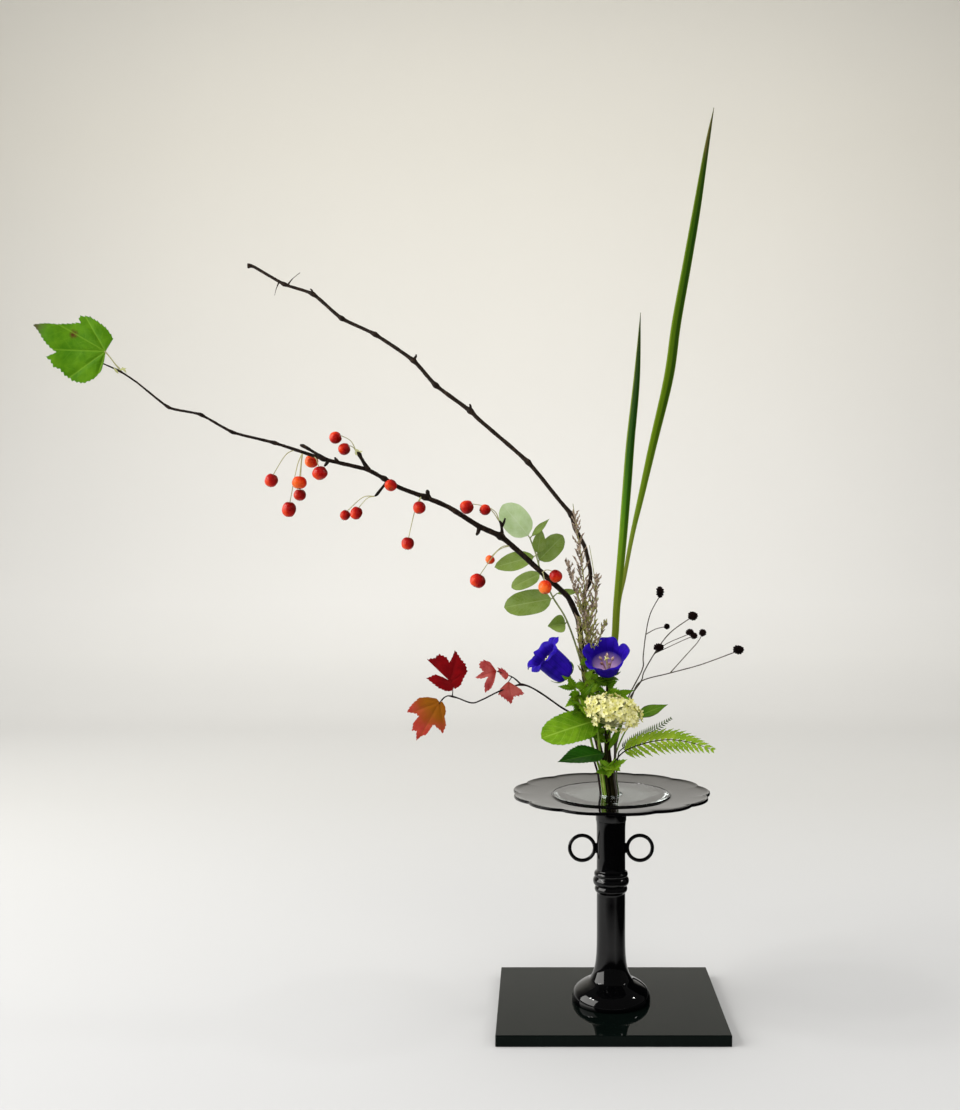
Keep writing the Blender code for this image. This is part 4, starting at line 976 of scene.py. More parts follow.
def crabapple_branch():
    route = [
        (-7, 0, 280, 3.2), (-12, -1.5, 300, 3.2), (-19, -3, 330, 3.2), (-25, -5, 358, 3.2), (-31, -6, 416, 3.2),
        (-34, -7, 438, 3.3), (-45, -8, 462, 3.1), (-64, -10, 480, 3.1), (-99, -14, 512, 3.0),
        (-120, -17, 530, 3.1), (-144, -20, 541, 3.0), (-177, -24, 562, 2.7), (-203, -27, 573, 2.6),
        (-230, -30, 583, 2.3), (-247, -32, 593, 2.2), (-266, -34, 603, 2.3), (-312, -40, 614, 2.0),
        (-364, -46, 631, 1.6), (-408, -50, 642, 1.45), (-442, -54, 661, 1.35), (-475, -56, 668, 1.3),
        (-509, -58, 695, 1.0), (-527, -59, 707, 0.95), (-545, -58, 715, 0.8),
    ]
    main = stem(
        "main", from_slot("crabapple_branch", route, 1.1), 2.0, 4, 0.12, 0.2, seed=3, kink=0.6,
        knuckles=((-64, 480), (-120, 530), (-203, 573), (-247, 593), (-312, 614), (-364, 631), (-408, 642),
                  (-441, 660), (-476, 668.5), (-527, 707)),
    )
    spurs = [
        ([(-264, -34, 602, 3.2), (-268, -35, 609, 2.0), (-272, -36, 616, 2.3), (-274, -36.5, 620, 2.7),
          (-276, -36.5, 622, 1.2)], 1),
        ([(-242, -32, 591, 2.4), (-248, -34, 584, 1.5), (-254, -36, 576, 1.6), (-256.5, -37, 573.5, 0.8)], 2),
        ([(-309, -40, 613, 2.6), (-320, -41, 620, 1.7), (-330, -42, 626, 2.0), (-334, -42, 628, 2.3),
          (-337, -42, 629, 1.1)], 3),
        ([(-197, -26.5, 570, 3.0), (-199, -27, 575, 1.9), (-200, -27, 579, 2.3), (-200.5, -27, 581, 1.0)], 4),
        ([(-119, -17, 529, 3.2), (-118.6, -18, 537, 1.6), (-119.5, -20, 544, 1.8), (-121.5, -20.4, 547, 1.0)],
         5),
        ([(-118.8, -19, 540, 1.4), (-116.4, -19.6, 545, 1.5), (-115.0, -20, 550, 0.9)], 6),
        ([(-306, -40, 613, 2.2), (-309, -41, 608, 1.7), (-311, -41, 606, 0.9)], 7),
        ([(-143, -20, 541, 3.0), (-145, -20, 534, 2.2), (-147, -20, 531, 1.0)], 8),
        ([(-297, -38, 611, 2.2), (-299, -38, 614, 1.6), (-300, -38, 616, 0.8)], 9),
    ]
    pieces = [main] + [stem("spur", knots, 1.2, 3, 0.2, 0.16, seed=seed, kink=0.4) for knots, seed in spurs]
    branch = join(pieces, "crabapple_branch_bark")
    paint(branch, FINISH["crabapple_bark"])
    hand_in(branch, "crabapple_branch_bark", "crabapple_bark", "crabapple_branch")

    scales = []
    for number, (x, y, z, turn) in enumerate([
        (-275, -37, 621, 0.3), (-277, -37, 618, 1.6), (-273, -37.5, 622, 2.6), (-278, -37, 621, -0.6),
        (-527, -60, 708, 0.2), (-524, -60, 711, -0.9), (-528, -60, 704, 2.2),
    ]):
        length = 6.0 if number < 4 else 8.5
        tip = (x + length * math.cos(turn), y - 1.5, z + length * math.sin(turn))
        scales.append(leaf("bud_scale", (x, y, z), tip, 2.4, (0, -1, 0.2), LANCE, rows=6, columns=12,
                           thick=0.25, ribs=1, quilt=0.0))
    whole = join(scales, "bud_scales")
    paint(whole, FINISH["cream_stalk"])
    hand_in(whole, "bud_scales", "crabapple_bark")


def bare_branch():
    route = [
        (1.5, 2, 280, 2.3), (-1, 2.5, 300, 2.3), (-9, 3, 340, 2.3), (-20, 4, 391, 2.3), (-27, 6, 455, 2.3),
        (-26, 6, 467, 2.3), (-20, 6, 480, 2.3), (-20, 7, 492, 2.3), (-26, 8, 518, 2.4), (-37, 10, 539, 2.5),
        (-41, 11, 554, 2.5), (-55, 13, 571, 2.3), (-90, 18, 614, 2.4), (-146, 25, 663, 2.3),
        (-156, 27, 673, 2.5), (-196, 32, 703, 2.3), (-222, 36, 732, 2.3), (-267, 41, 763, 2.1),
        (-306, 45, 782, 2.1), (-340, 49, 811, 2.0), (-374, 52, 823, 1.8), (-410, 55, 844, 1.8),
        (-417, 55, 845, 1.9),
    ]
    main = stem(
        "main", from_slot("bare_branch", route, 1.9), 2.0, 4, 0.12, 0.18, seed=7, kink=0.5,
        knuckles=((-41, 554), (-90, 614), (-156, 673), (-196, 703), (-222, 732), (-267, 763), (-306, 782),
                  (-340, 811), (-374, 823), (-416, 845)),
    )
    twigs = [
        ([(-370, 52, 822, 1.2), (-364, 51, 829, 0.45), (-355, 50, 836, 0.3)], 1),
        ([(-380, 52, 825, 1.0), (-383, 52, 818, 0.4), (-385, 52, 810, 0.25)], 2),
        ([(-340, 49, 811, 1.6), (-341, 49, 815, 1.2), (-343, 49, 817, 0.6)], 3),
        ([(-222, 36, 732, 2.0), (-219, 36, 737, 1.2), (-219, 36, 739, 0.6)], 4),
        ([(-156, 27, 673, 2.2), (-156, 27, 679, 1.3), (-157, 27, 681, 0.7)], 5),
    ]
    pieces = [main] + [stem("twig", knots, 1.0, 3, 0.2, 0.1, seed=seed + 20) for knots, seed in twigs]
    branch = join(pieces, "bare_branch_bark")
    paint(branch, FINISH["bare_bark"])
    hand_in(branch, "bare_branch_bark", "bare_bark", "bare_branch")


def fruit(size, seed):
    """One fruit: a sphere drawn in at the stalk and at the eye, a little lopsided, with its dry eye."""
    bpy.ops.mesh.primitive_uv_sphere_add(segments=28, ring_count=18, radius=0.5)
    skin = bpy.context.object
    for vertex in skin.data.vertices:
        spot = vertex.co.normalized()
        top, low = max(0.0, spot.z), max(0.0, -spot.z)
        dent = 1.0 - 0.20 * math.exp(-((1.0 - top) / 0.045)) - 0.13 * math.exp(-((1.0 - low) / 0.035))
        bulge = 1.0 + 0.05 * noise.noise(spot * 1.6 + Vector((seed, 0.0, 0.0)))
        vertex.co = spot * 0.5 * dent * bulge
        vertex.co.z *= 1.0 - 0.05 * low
    skin.scale = Vector(size) * MM
    settle(skin)
    # painted light: each fruit's skin is marked lighter towards its own lower left, for the side that the key
    # light from the left falls on
    layer = skin.data.attributes.new("painted_lit_side", "FLOAT", "POINT")
    for vertex in skin.data.vertices:
        layer.data[vertex.index].value = 0.5 + 0.5 * vertex.co.normalized().dot(Vector((-0.78, -0.10, -0.62)))
    pieces = [skin]
    for number in range(5):
        turn = number * math.tau / 5.0 + seed
        out = Vector((math.cos(turn), math.sin(turn), 0.0))
        foot = Vector((0.0, 0.0, -0.40 * size[2])) + out * 0.7
        end = foot + out * 1.5 + Vector((0.0, 0.0, -1.0))
        sepal = leaf("sepal", foot, end, 1.3, (0, 0, -1), LANCE, rows=2, columns=4, thick=0.2, ribs=1,
                     quilt=0.0)
        paint(sepal, FINISH["calyx"])
        pieces.append(sepal)
    return skin, pieces


def fruits():
    """The fruits in their groups, each on its thin stalk from a spur."""
    groups = [
        ((-276.5, -36.5, 621.5), [((-299, -40, 637), (13.4, 13, 14)), ((-290, -36, 625), (13, 13, 14))]),
        ((-322, -41, 616.5), [((-327, -29, 612), (15, 15, 14)), ((-314, -50, 598), (16.5, 16, 15.5))]),
        ((-240, -33, 588), [((-238, -46, 585), (13.6, 14, 12))]),
        ((-121.5, -20.4, 546.5), [((-157, -28, 562), (15, 15, 16)), ((-137, -24, 559), (12, 12, 13))]),
        ((-74, -13, 490), [((-59, -22, 486), (14, 14, 15)), ((-71, -30, 474), (15, 15, 16))]),
        ((-334, -42.8, 620.5), [((-337, -46, 588), (16, 16, 15)), ((-339, -33, 575), (13.5, 13, 13.5)),
                                ((-349, -42, 559), (15, 15, 18))]),
        ((-343, -43.8, 623.5), [((-366, -52, 590), (14, 14, 15.5))]),
        ((-257, -37.5, 573.5), [((-276, -42, 555), (13, 12, 15)), ((-290, -30, 553), (11, 11, 12))]),
        ((-207, -29, 573), [((-208, -38, 561), (14, 14, 14.5)), ((-221, -34, 522), (14, 14, 15))]),
        ((-110, -16.5, 519.5), [((-132, -12, 504), (10.5, 11, 10)), ((-145, -26, 481), (17.5, 17, 16.5))]),
    ]
    orange = {(1, 0), (4, 1), (5, 0), (9, 0)}
    for number, (spur, rows) in enumerate(groups):
        skins, stalks = [], []
        for row, (centre, size) in enumerate(rows):
            seed = number * 3.1 + row * 1.7
            skin, pieces = fruit(size, seed)
            start = Vector(spur)
            way = (start - Vector(centre)).normalized()
            lean = UPWARD.lerp(way, 0.55).normalized()
            place = Matrix.Translation(Vector(centre) * MM) @ aimed(lean)
            paint(skin, FINISH["fruit_orange" if (number, row) in orange else "fruit_red"])
            whole = join(pieces, "fruit")
            whole.matrix_world = place
            settle(whole)
            skins.append(whole)
            top = Vector(centre) + lean * 0.40 * size[2]
            far = (top - start).length
            middle = start.lerp(top, 0.5) + Vector((0.0, 0.0, 0.10 * far)) + lean * 0.12 * far
            knots = [(*start, 0.75), (*middle, 0.5), (*(top + lean * 1.5), 0.5), (*(top - lean * 0.8), 0.7)]
            stalk = stem("stalk", knots, 1.5, 1)
            paint(stalk, FINISH["fruit_stalk"])
            stalks.append(stalk)
        cluster = join(skins + stalks, "fruits")
        slot = "fruit_orange" if number == 9 else "fruit_red"
        hand_in(cluster, "fruits_%d" % (number + 1), slot, "crabapples_%d" % (number + 1))


def tip_leaf():
    """The bright toothed leaf at the branch's end, spread out from its thin stalk."""
    outline = [
        (0, 0), (1.5, 6), (5, 14), (8.5, 13), (6, 18), (0, 26), (-9, 32.5), (-17, 37.5), (-28, 38), (-29, 34),
        (-26, 31), (-38, 30), (-52, 29.5), (-66, 30.5), (-79, 29.5), (-72, 21), (-65, 10), (-58, 3), (-53, -1),
        (-60, -4), (-64.5, -6), (-59, -9.5), (-56, -16), (-49, -19), (-44, -25), (-36, -31), (-24, -34),
        (-12, -29), (-4, -20), (-1.5, -10), (0, 0),
    ]
    blade = fan_leaf(
        "tip_leaf_blade", (-541.0, -62.5, 727.5), outline, (0.0, -1.0, 0.12), (0.0, 0.0, 1.0), teeth=2.4,
        tooth_length=5.0, cup=-0.05, quilt=0.7, ribs=(2.62, 3.1, 3.75, 2.1, 4.4), bend=1.6, columns=260,
        rows=14, seed=2,
    )
    paint(blade, FINISH["tip_leaf"])
    stalk = stem("stalk", [(-526.8, -59.6, 709, 1.0), (-531, -61, 714, 0.7), (-536, -62, 721, 0.65),
                           (-541.5, -62.8, 727.6, 0.8)], 1.2, 2)
    paint(stalk, FINISH["fruit_stalk"])
    whole = join([blade, stalk], "end_leaf")
    hand_in(whole, "end_leaf", "tip_leaf_green", "tip_leaf")


# ---------------------------------------------------------------- grasses and sword leaves

def sword_leaf(name, node, spine, tilt, start_y, turn):
    """A long folded blade along (x, z, width) rows, in a plane that leans back by tilt."""
    rows = [(x, z, width) for x, z, width in spine]

    def surface(s, t):
        x, z, width = spline_value(rows, s * (len(rows) - 1))
        v = 2.0 * t - 1.0
        width = max(width, 0.05)
        y = start_y + (z - COLLAR) * math.tan(tilt)
        ridge = 0.16 * width * (1.0 - v * v)
        return x + v * width / 2.0 * math.cos(turn * s), y - ridge + v * width / 2.0 * math.sin(turn * s), z

    thing = grid_sheet(name, 220, 8, surface)
    tidy_mesh(thing, 0.01, outward=False)
    thicken(thing, 0.9)
    shade(thing, 50.0)
    paint(thing, FINISH[name.replace("blade", "sword")])
    hand_in(thing, name, "sword_green", node)


def sword_leaves():
    tall = [
        (4.6, 206, 3.0), (4.6, 230, 3.0), (0.8, 262, 3.0), (1.5, 300, 3.0), (4, 357, 3.2), (12, 447, 3.6),
        (19, 483, 4.0), (28, 531, 5.2), (38, 574, 7.2), (52, 635, 9.6), (70, 711, 11.8), (79, 773, 11.6),
        (92, 844, 11.0), (103, 906, 9.8), (115, 979, 5.6), (123, 1022, 0.0),
    ]
    short = [
        (0.8, 206, 3.0), (0.8, 230, 3.0), (-3.0, 262, 3.0), (-2, 300, 3.6), (0, 346, 5.6), (4, 384, 7.0),
        (8, 419, 7.6), (10, 454, 8.0), (16, 522, 9.0), (21, 585, 9.8), (25, 637, 9.4), (32, 708, 7.0),
        (36, 780, 0.0),
    ]
    sword_leaf("tall_blade", "sword_leaf_tall", tall, 0.0334, 8.6, 0.5)
    sword_leaf("short_blade", "sword_leaf_short", short, -0.020, 8.2, -0.4)


def spikelet():
    """One grass spikelet: a tiny pointed husk with a drawn-out foot."""
    bpy.ops.mesh.primitive_cone_add(vertices=5, radius1=0.5, radius2=0.0, depth=1.0, end_fill_type="TRIFAN")
    husk = bpy.context.object
    for vertex in husk.data.vertices:
        if vertex.co.z < 0.0:
            reach = math.hypot(vertex.co.x, vertex.co.y)
            vertex.co.z = -0.25 if reach > 0.2 else -0.55
    return husk


def plume():
    """The grass: stalk, side branches and many small husks that point upward."""
    draw = random.Random(11)
    turn_step, spread = 2.4, 0.62
    stalk_route = [(-8.5, -7, 280), (-12, -9.5, 300), (-18, -12, 330), (-21, -13, 348), (-23, -13, 415),
                   (-27, -14, 470), (-32, -14, 515), (-37, -14, 545), (-40, -14, 566)]
    stalks = [stem("stalk", from_slot("grass_plume", stalk_route, 0.35), 3.0, 2, 0.1, 0.05)]
    second = [(-21.6, -13, 390, 0.8), (-17, -15, 430, 0.6), (-14, -16, 455, 0.5), (-17, -16, 490, 0.4),
              (-22, -16, 520, 0.3)]
    stalks.append(stem("stalk", second, 3.0, 1))
    master = spikelet()
    husks, green_husks = [], []
    stems = [
        ([(-21.6, -13, 395), (-24, -13, 425), (-27, -14, 455), (-31, -14, 495), (-35, -14, 530),
          (-38, -14, 554)], 24.0, 52),
        ([(-23, -14, 415), (-31, -15, 450), (-40, -16, 478), (-46, -16, 500)], 18.0, 34),
        ([(-22, -14, 410), (-20, -16, 440), (-15, -16, 466), (-13, -16, 484)], 18.0, 30),
        ([(-22, -15, 396), (-15, -17, 410), (-7, -18, 427), (-4, -18, 434)], 13.0, 18),
        ([(-23, -15, 345), (-27, -16, 380), (-31, -16, 412), (-34, -16, 438)], 17.0, 34),
    ]
    for points, reach, count in stems:
        knots = [(*point, 1.0) for point in points]
        for number in range(count):
            share = (number + 0.5) / count
            spot = Vector(spline_value(knots, share * (len(knots) - 1))[:3])
            angle = number * turn_step + draw.uniform(-0.3, 0.3)
            length = reach * (1.0 - 0.72 * share ** 1.3) * draw.uniform(0.75, 1.2)
            way = Vector((math.cos(angle) * spread, math.sin(angle) * spread * 0.55, 1.0)).normalized()
            end = spot + way * length + Vector((draw.uniform(-1, 1), 0.0, 0.0))
            stalks.append(stem("side", [(*spot, 0.28), (*(spot.lerp(end, 0.5) + Vector((0, 0, 0.8))), 0.22),
                                        (*end, 0.18)], 4.0, 0))
            amount = max(4, int(length / 1.9))
            for step in range(amount):
                t = (step + 0.6) / amount
                foot = spot.lerp(end, t)
                lean = (way + Vector((draw.uniform(-0.75, 0.75), draw.uniform(-0.5, 0.5), 0.0))).normalized()
                husk = twin_of(master.data, "husk")
                size = draw.uniform(3.8, 6.2)
                shape = Matrix.Diagonal((size * 0.42, size * 0.32, size, 1.0))
                husk.matrix_world = Matrix.Translation(foot * MM) @ aimed(lean) @ shape @ Matrix.Scale(MM, 4)
                fresh = draw.random() < (500.0 - foot.z) / 120.0
                (green_husks if fresh else husks).append(husk)
    bpy.data.objects.remove(master, do_unlink=True)
    heads = join(husks, "plume_husks")
    paint(heads, FINISH["plume"])
    green = join(stalks + green_husks, "plume_stalks")
    paint(green, FINISH["plume_stalk"])
    whole = join([green, heads], "plume")
    hand_in(whole, "plume", "plume_straw", "grass_plume")


# ---------------------------------------------------------------- sage twig, maple

def sage_twig():
    route = [
        (-9, 5.5, 280), (-12, 8, 301), (-19, 9.5, 340), (-31, 10, 390), (-46, 14, 434), (-62, 18, 461),
        (-75, 20, 488), (-81, 22, 509), (-88, 22, 528),
    ]
    twig = stem("twig", from_slot("oval_leaf_twig", route, 0.8), 2.5, 2, 0.12, 0.06, seed=9)
    leaves = [
        ((-90, 22, 531), (-119, 22, 566), 32, (0.1, -1, 0), ROUND),
        ((-86, 19.4, 530), (-66, 14, 550), 8, (0, -1, 0.3), LANCE),
        ((-79.2, 20, 511), (-75, 22, 540), 16, (0.3, -1, 0), OVATE),
        ((-83.5, 25, 507), (-129, 27, 495), 22, (0, -1, 0.3), OVAL),
        ((-77.6, 23.5, 503), (-50, 31, 531), 24, (0.2, -1, 0.1), ROUND),
        ((-77, 18.5, 487), (-109, 18, 472), 18, (0, -1, 0.4), ROUND),
        ((-64, 16, 459), (-117, 13, 450), 29, (0, -1, 0.3), ROUND),
        ((-57, 21, 465), (-30, 24, 468), 8, (0, -1, 0.5), LANCE),
        ((-48, 11, 431), (-68, 7, 429), 20, (0, -1, 0.2), OVATE),
    ]
    joints = [(-88, 22, 528), (-88, 22, 528), (-80.8, 21.5, 508), (-80.8, 22, 508), (-78, 21, 498),
              (-75, 20, 488), (-61.5, 18, 460), (-62, 18, 461), (-46, 14, 434)]
    stalks = [twig]
    for number, (base, tip, width, facing, outline) in enumerate(leaves):
        blade = leaf("sage_leaf", base, tip, width, facing, outline, fold=0.16 if number != 8 else 0.9,
                     droop=0.04, wave=0.5, ribs=8, quilt=0.15, seed=number * 1.3)
        paint(blade, FINISH["pale_sage" if number == 0 else "sage"])
        hand_in(blade, "sage_leaf_%d" % (number + 1), "sage_green", "oval_leaf_%d" % (number + 1))
        stalks.append(stem("stalk", [(*joints[number], 0.8), (*base, 0.6)], 1.5, 1))
    whole = join(stalks, "sage_twig")
    paint(whole, FINISH["sage_bark"])
    hand_in(whole, "sage_twig", "sage_twig", "oval_leaf_twig")


def maple():
    route = [
        (-16, -3.5, 280), (-21, -8, 309), (-34, -15, 328), (-55, -24, 343), (-73, -34, 357), (-87, -40, 366),
        (-97, -43, 369), (-107, -46, 367), (-122, -50, 362), (-139, -54, 354), (-150, -56, 351),
        (-166, -59, 357), (-176, -61, 359), (-182, -62, 354),
    ]
    pieces = [
        stem("twig", from_slot("maple_twig", route, 0.7), 2.0, 3, 0.14, 0.08, seed=5,
             knuckles=((-97, 369), (-170, 358))),
        stem("side", [(-97, -43, 369, 1.0), (-103, -45, 375, 0.8), (-109, -48, 379, 0.7),
                      (-123, -52.4, 384.5, 0.55)], 1.5, 2, 0.1, 0.05),
        stem("stalk", [(-170.5, -60, 358, 0.8), (-170, -61, 366, 0.45), (-172, -62, 373, 0.5)], 1.2, 1),
        stem("stalk", [(-176, -61, 359, 0.7), (-180, -62, 357, 0.5), (-184.5, -63, 351, 0.6)], 1.2, 1),
        stem("stalk", [(-107, -46, 377.6, 0.6), (-109, -48, 375, 0.45), (-110.5, -49, 373, 0.5)], 1.2, 1),
    ]
    twig = join(pieces, "maple_twig_bark")
    paint(twig, FINISH["maple_bark"])
    hand_in(twig, "maple_twig_bark", "maple_bark", "maple_twig")

    leaves = [
        # number, stalk joint, outline in the leaf's own plane, facing
        (1, (-172.4, -62.6, 374.5), [
            (0, 0), (4, -7), (1, -10), (-4, -10), (-12, -7), (-25, 3.6), (-16, 8), (-8, 5), (-1.5, 1.5),
            (-10, 12), (-17, 16.5), (-24.5, 23.5), (-17, 25), (-12, 29.5), (-4, 26), (-1, 20.5), (2, 26),
            (5, 33.5), (10, 26), (16.5, 18), (18, 10), (14, 3), (11, -4), (5, -8), (0, 0),
        ], (0.1, -1, 0.15), (1.3, 2.3, 3.0, 0.5)),
        (2, (-184.0, -63.0, 352.5), [
            (0, 0), (-3, 4), (-12, 5.5), (-22, 4.5), (-30, -3), (-35.5, -11), (-24.5, -12.5), (-22.5, -15.5),
            (-28, -22), (-30, -30.5), (-25, -31), (-25.5, -41.5), (-19, -36), (-14.5, -35), (-10, -29),
            (-6.5, -23.5), (0, -29), (3.5, -33.5), (7, -24), (5.5, -15), (7, -10), (6, -4), (3, 1), (0, 0),
        ], (-0.05, -1, 0.2), (3.5, 4.2, 4.9, 2.9)),
        (3, (-123.4, -53.6, 384.8), [
            (0, 0), (-4, 5), (-7, 10), (-13, 12), (-18, 9.5), (-18.5, 4.5), (-14, 0), (-23, -7), (-17, -8),
            (-14, -7.5), (-9, -5.5), (-13, -14), (-12.5, -23), (-6, -19), (-2.5, -12), (-2, -5), (0, 0),
        ], (0.1, -1, -0.1), (2.5, 3.4, 4.3)),
        (4, (-110.6, -49.6, 373.0), [
            (0, 0), (-3, -2), (-9, -8), (-11, -13.5), (-4, -18.5), (3, -24.5), (5, -19), (6, -16), (11, -15.5),
            (17, -13.4), (13, -8), (8, -7), (5, -3), (0, 0),
        ], (0, -1, 0.1), (4.0, 4.9, 5.6)),
        (5, (-112.0, -51.4, 376.4), [(0, 0), (2, 4), (-1, 8), (-5, 11), (-9.5, 11.5), (-9, 7), (-6, 3),
                                     (-2, -1), (0, 0)],
         (0.2, -1, 0.3), (2.3,)),
    ]
    for number, base, outline, facing, ribs in leaves:
        blade = fan_leaf("maple_leaf", base, outline, facing, (0, 0, 1), teeth=2.0, tooth_length=3.9, cup=-0.06,
                         quilt=0.6, ribs=ribs, bend=1.2, columns=200, rows=10, thick=0.3, seed=number)
        paint(blade, FINISH["maple_%d" % number])
        hand_in(blade, "red_leaf_%d" % number, "maple_red", "maple_leaf_%d" % number)


# ---------------------------------------------------------------- bell flowers

TUBE = [(0.10, 0.0), (0.55, 0.04), (0.82, 0.13), (0.93, 0.30), (0.96, 0.52), (0.98, 0.72), (1.06, 0.86)]
BOWL = [(0.10, 0.0), (0.45, 0.03), (0.68, 0.12), (0.82, 0.27), (0.92, 0.44), (1.00, 0.58), (1.06, 0.68)]


def bell(name, base, mouth, length, radius, body, flare, rise, turn, profile):
    """A bell: a round-bottomed cup with five rounded lobes that curl back at the mouth."""

    def surface(s, t):
        angle = s * math.tau
        lobe = abs(math.cos(2.5 * (angle - turn))) ** 0.62
        if t < 0.62:
            r, h = spline_value(profile, t / 0.62 * (len(profile) - 1))
            r *= 1.0 + 0.03 * math.cos(5.0 * (angle - turn)) * t
            return r * body * math.cos(angle), r * body * math.sin(angle), h * length
        share = (t - 0.62) / 0.38
        reach = share * (0.16 + 0.84 * lobe)
        r = body * 1.06 + (radius - body * 1.06) * reach
        curl = flare * reach * reach * length
        h = profile[-1][1] * length + rise * length * math.sin(reach * 1.8) - curl
        h += 0.03 * length * math.sin(10.0 * angle + 1.0) * share
        return r * math.cos(angle), r * math.sin(angle), h

    cup = grid_sheet("cup", 90, 26, surface)
    tidy_mesh(cup, 0.02)
    thicken(cup, 0.55)
    mark_inside(cup)
    shade(cup, 60.0)
    paint(cup, FINISH["bell"])
    pieces = [cup]
    for number in range(5):
        angle = number * math.tau / 5.0 + turn
        out = Vector((math.cos(angle), math.sin(angle), 0.0))
        foot = out * body * 0.15 + Vector((0.0, 0.0, 0.20 * length))
        tip = out * body * 0.34 + Vector((0.0, 0.0, 0.56 * length))
        filament = stem("stamen", [(*foot, 0.7), (*foot.lerp(tip, 0.6), 0.45), (*tip, 0.4)], 2.0, 1)
        paint(filament, FINISH["stamen"])
        anther = stem("anther", [(*tip, 0.5), (*(tip + out * 1.2 + Vector((0, 0, 2.4))), 1.7),
                                 (*(tip + out * 2.4 + Vector((0, 0, 5.2))), 0.7)], 1.2, 2)
        paint(anther, FINISH["stamen"])
        pieces += [filament, anther]
    style = stem("style", [(0, 0, 0.1 * length, 0.9), (0, 0, 0.5 * length, 0.8), (0, 0, 0.70 * length, 1.1)],
                 2.0, 2)
    paint(style, FINISH["cream"])
    pieces.append(style)
    for number in range(3):
        angle = number * math.tau / 3.0
        curl = stem("stigma", [
            (0, 0, 0.69 * length, 0.8), (2.0 * math.cos(angle), 2.0 * math.sin(angle), 0.75 * length, 0.7),
            (3.8 * math.cos(angle), 3.8 * math.sin(angle), 0.72 * length, 0.45)], 1.2, 1)
        paint(curl, FINISH["cream"])
        pieces.append(curl)
    for number in range(5):
        middle = (number + 0.5) * math.tau / 5.0 + turn

        def sepal_shape(s, t, middle=middle):
            r, h = spline_value(profile, 0.35 + 2.6 * s)
            half = 3.4 * (1.0 - s) ** 0.7 * min(1.0, 0.5 + 3.0 * s)
            angle = middle + (2.0 * t - 1.0) * half / max(4.0, r * body)
            reach = r * body + 0.9 + 1.6 * s * s
            return reach * math.cos(angle), reach * math.sin(angle), h * length - 0.5

        sepal = grid_sheet("sepal", 12, 6, sepal_shape)
        tidy_mesh(sepal, 0.01)
        thicken(sepal, 0.4)
        paint(sepal, FINISH["bell_leaf"])
        pieces.append(sepal)
    whole = join(pieces, name)
    way = (Vector(mouth) - Vector(base)).normalized()
    whole.matrix_world = Matrix.Translation(Vector(base) * MM) @ way.to_track_quat("Z",
                                                                                   "Y").to_matrix().to_4x4()
    return whole


def mark_inside(cup):
    """Mark the cup's inner wall, which has the pale throat."""
    mesh = cup.data
    layer = mesh.attributes.new("throat", "FLOAT", "POINT")
    for vertex in mesh.vertices:
        axis = Vector((vertex.co.x, vertex.co.y, 0.0))
        inner = axis.length > 1e-6 and vertex.normal.dot(axis.normalized()) < 0.0
        layer.data[vertex.index].value = 1.0 if inner or vertex.normal.z > 0.8 else 0.0


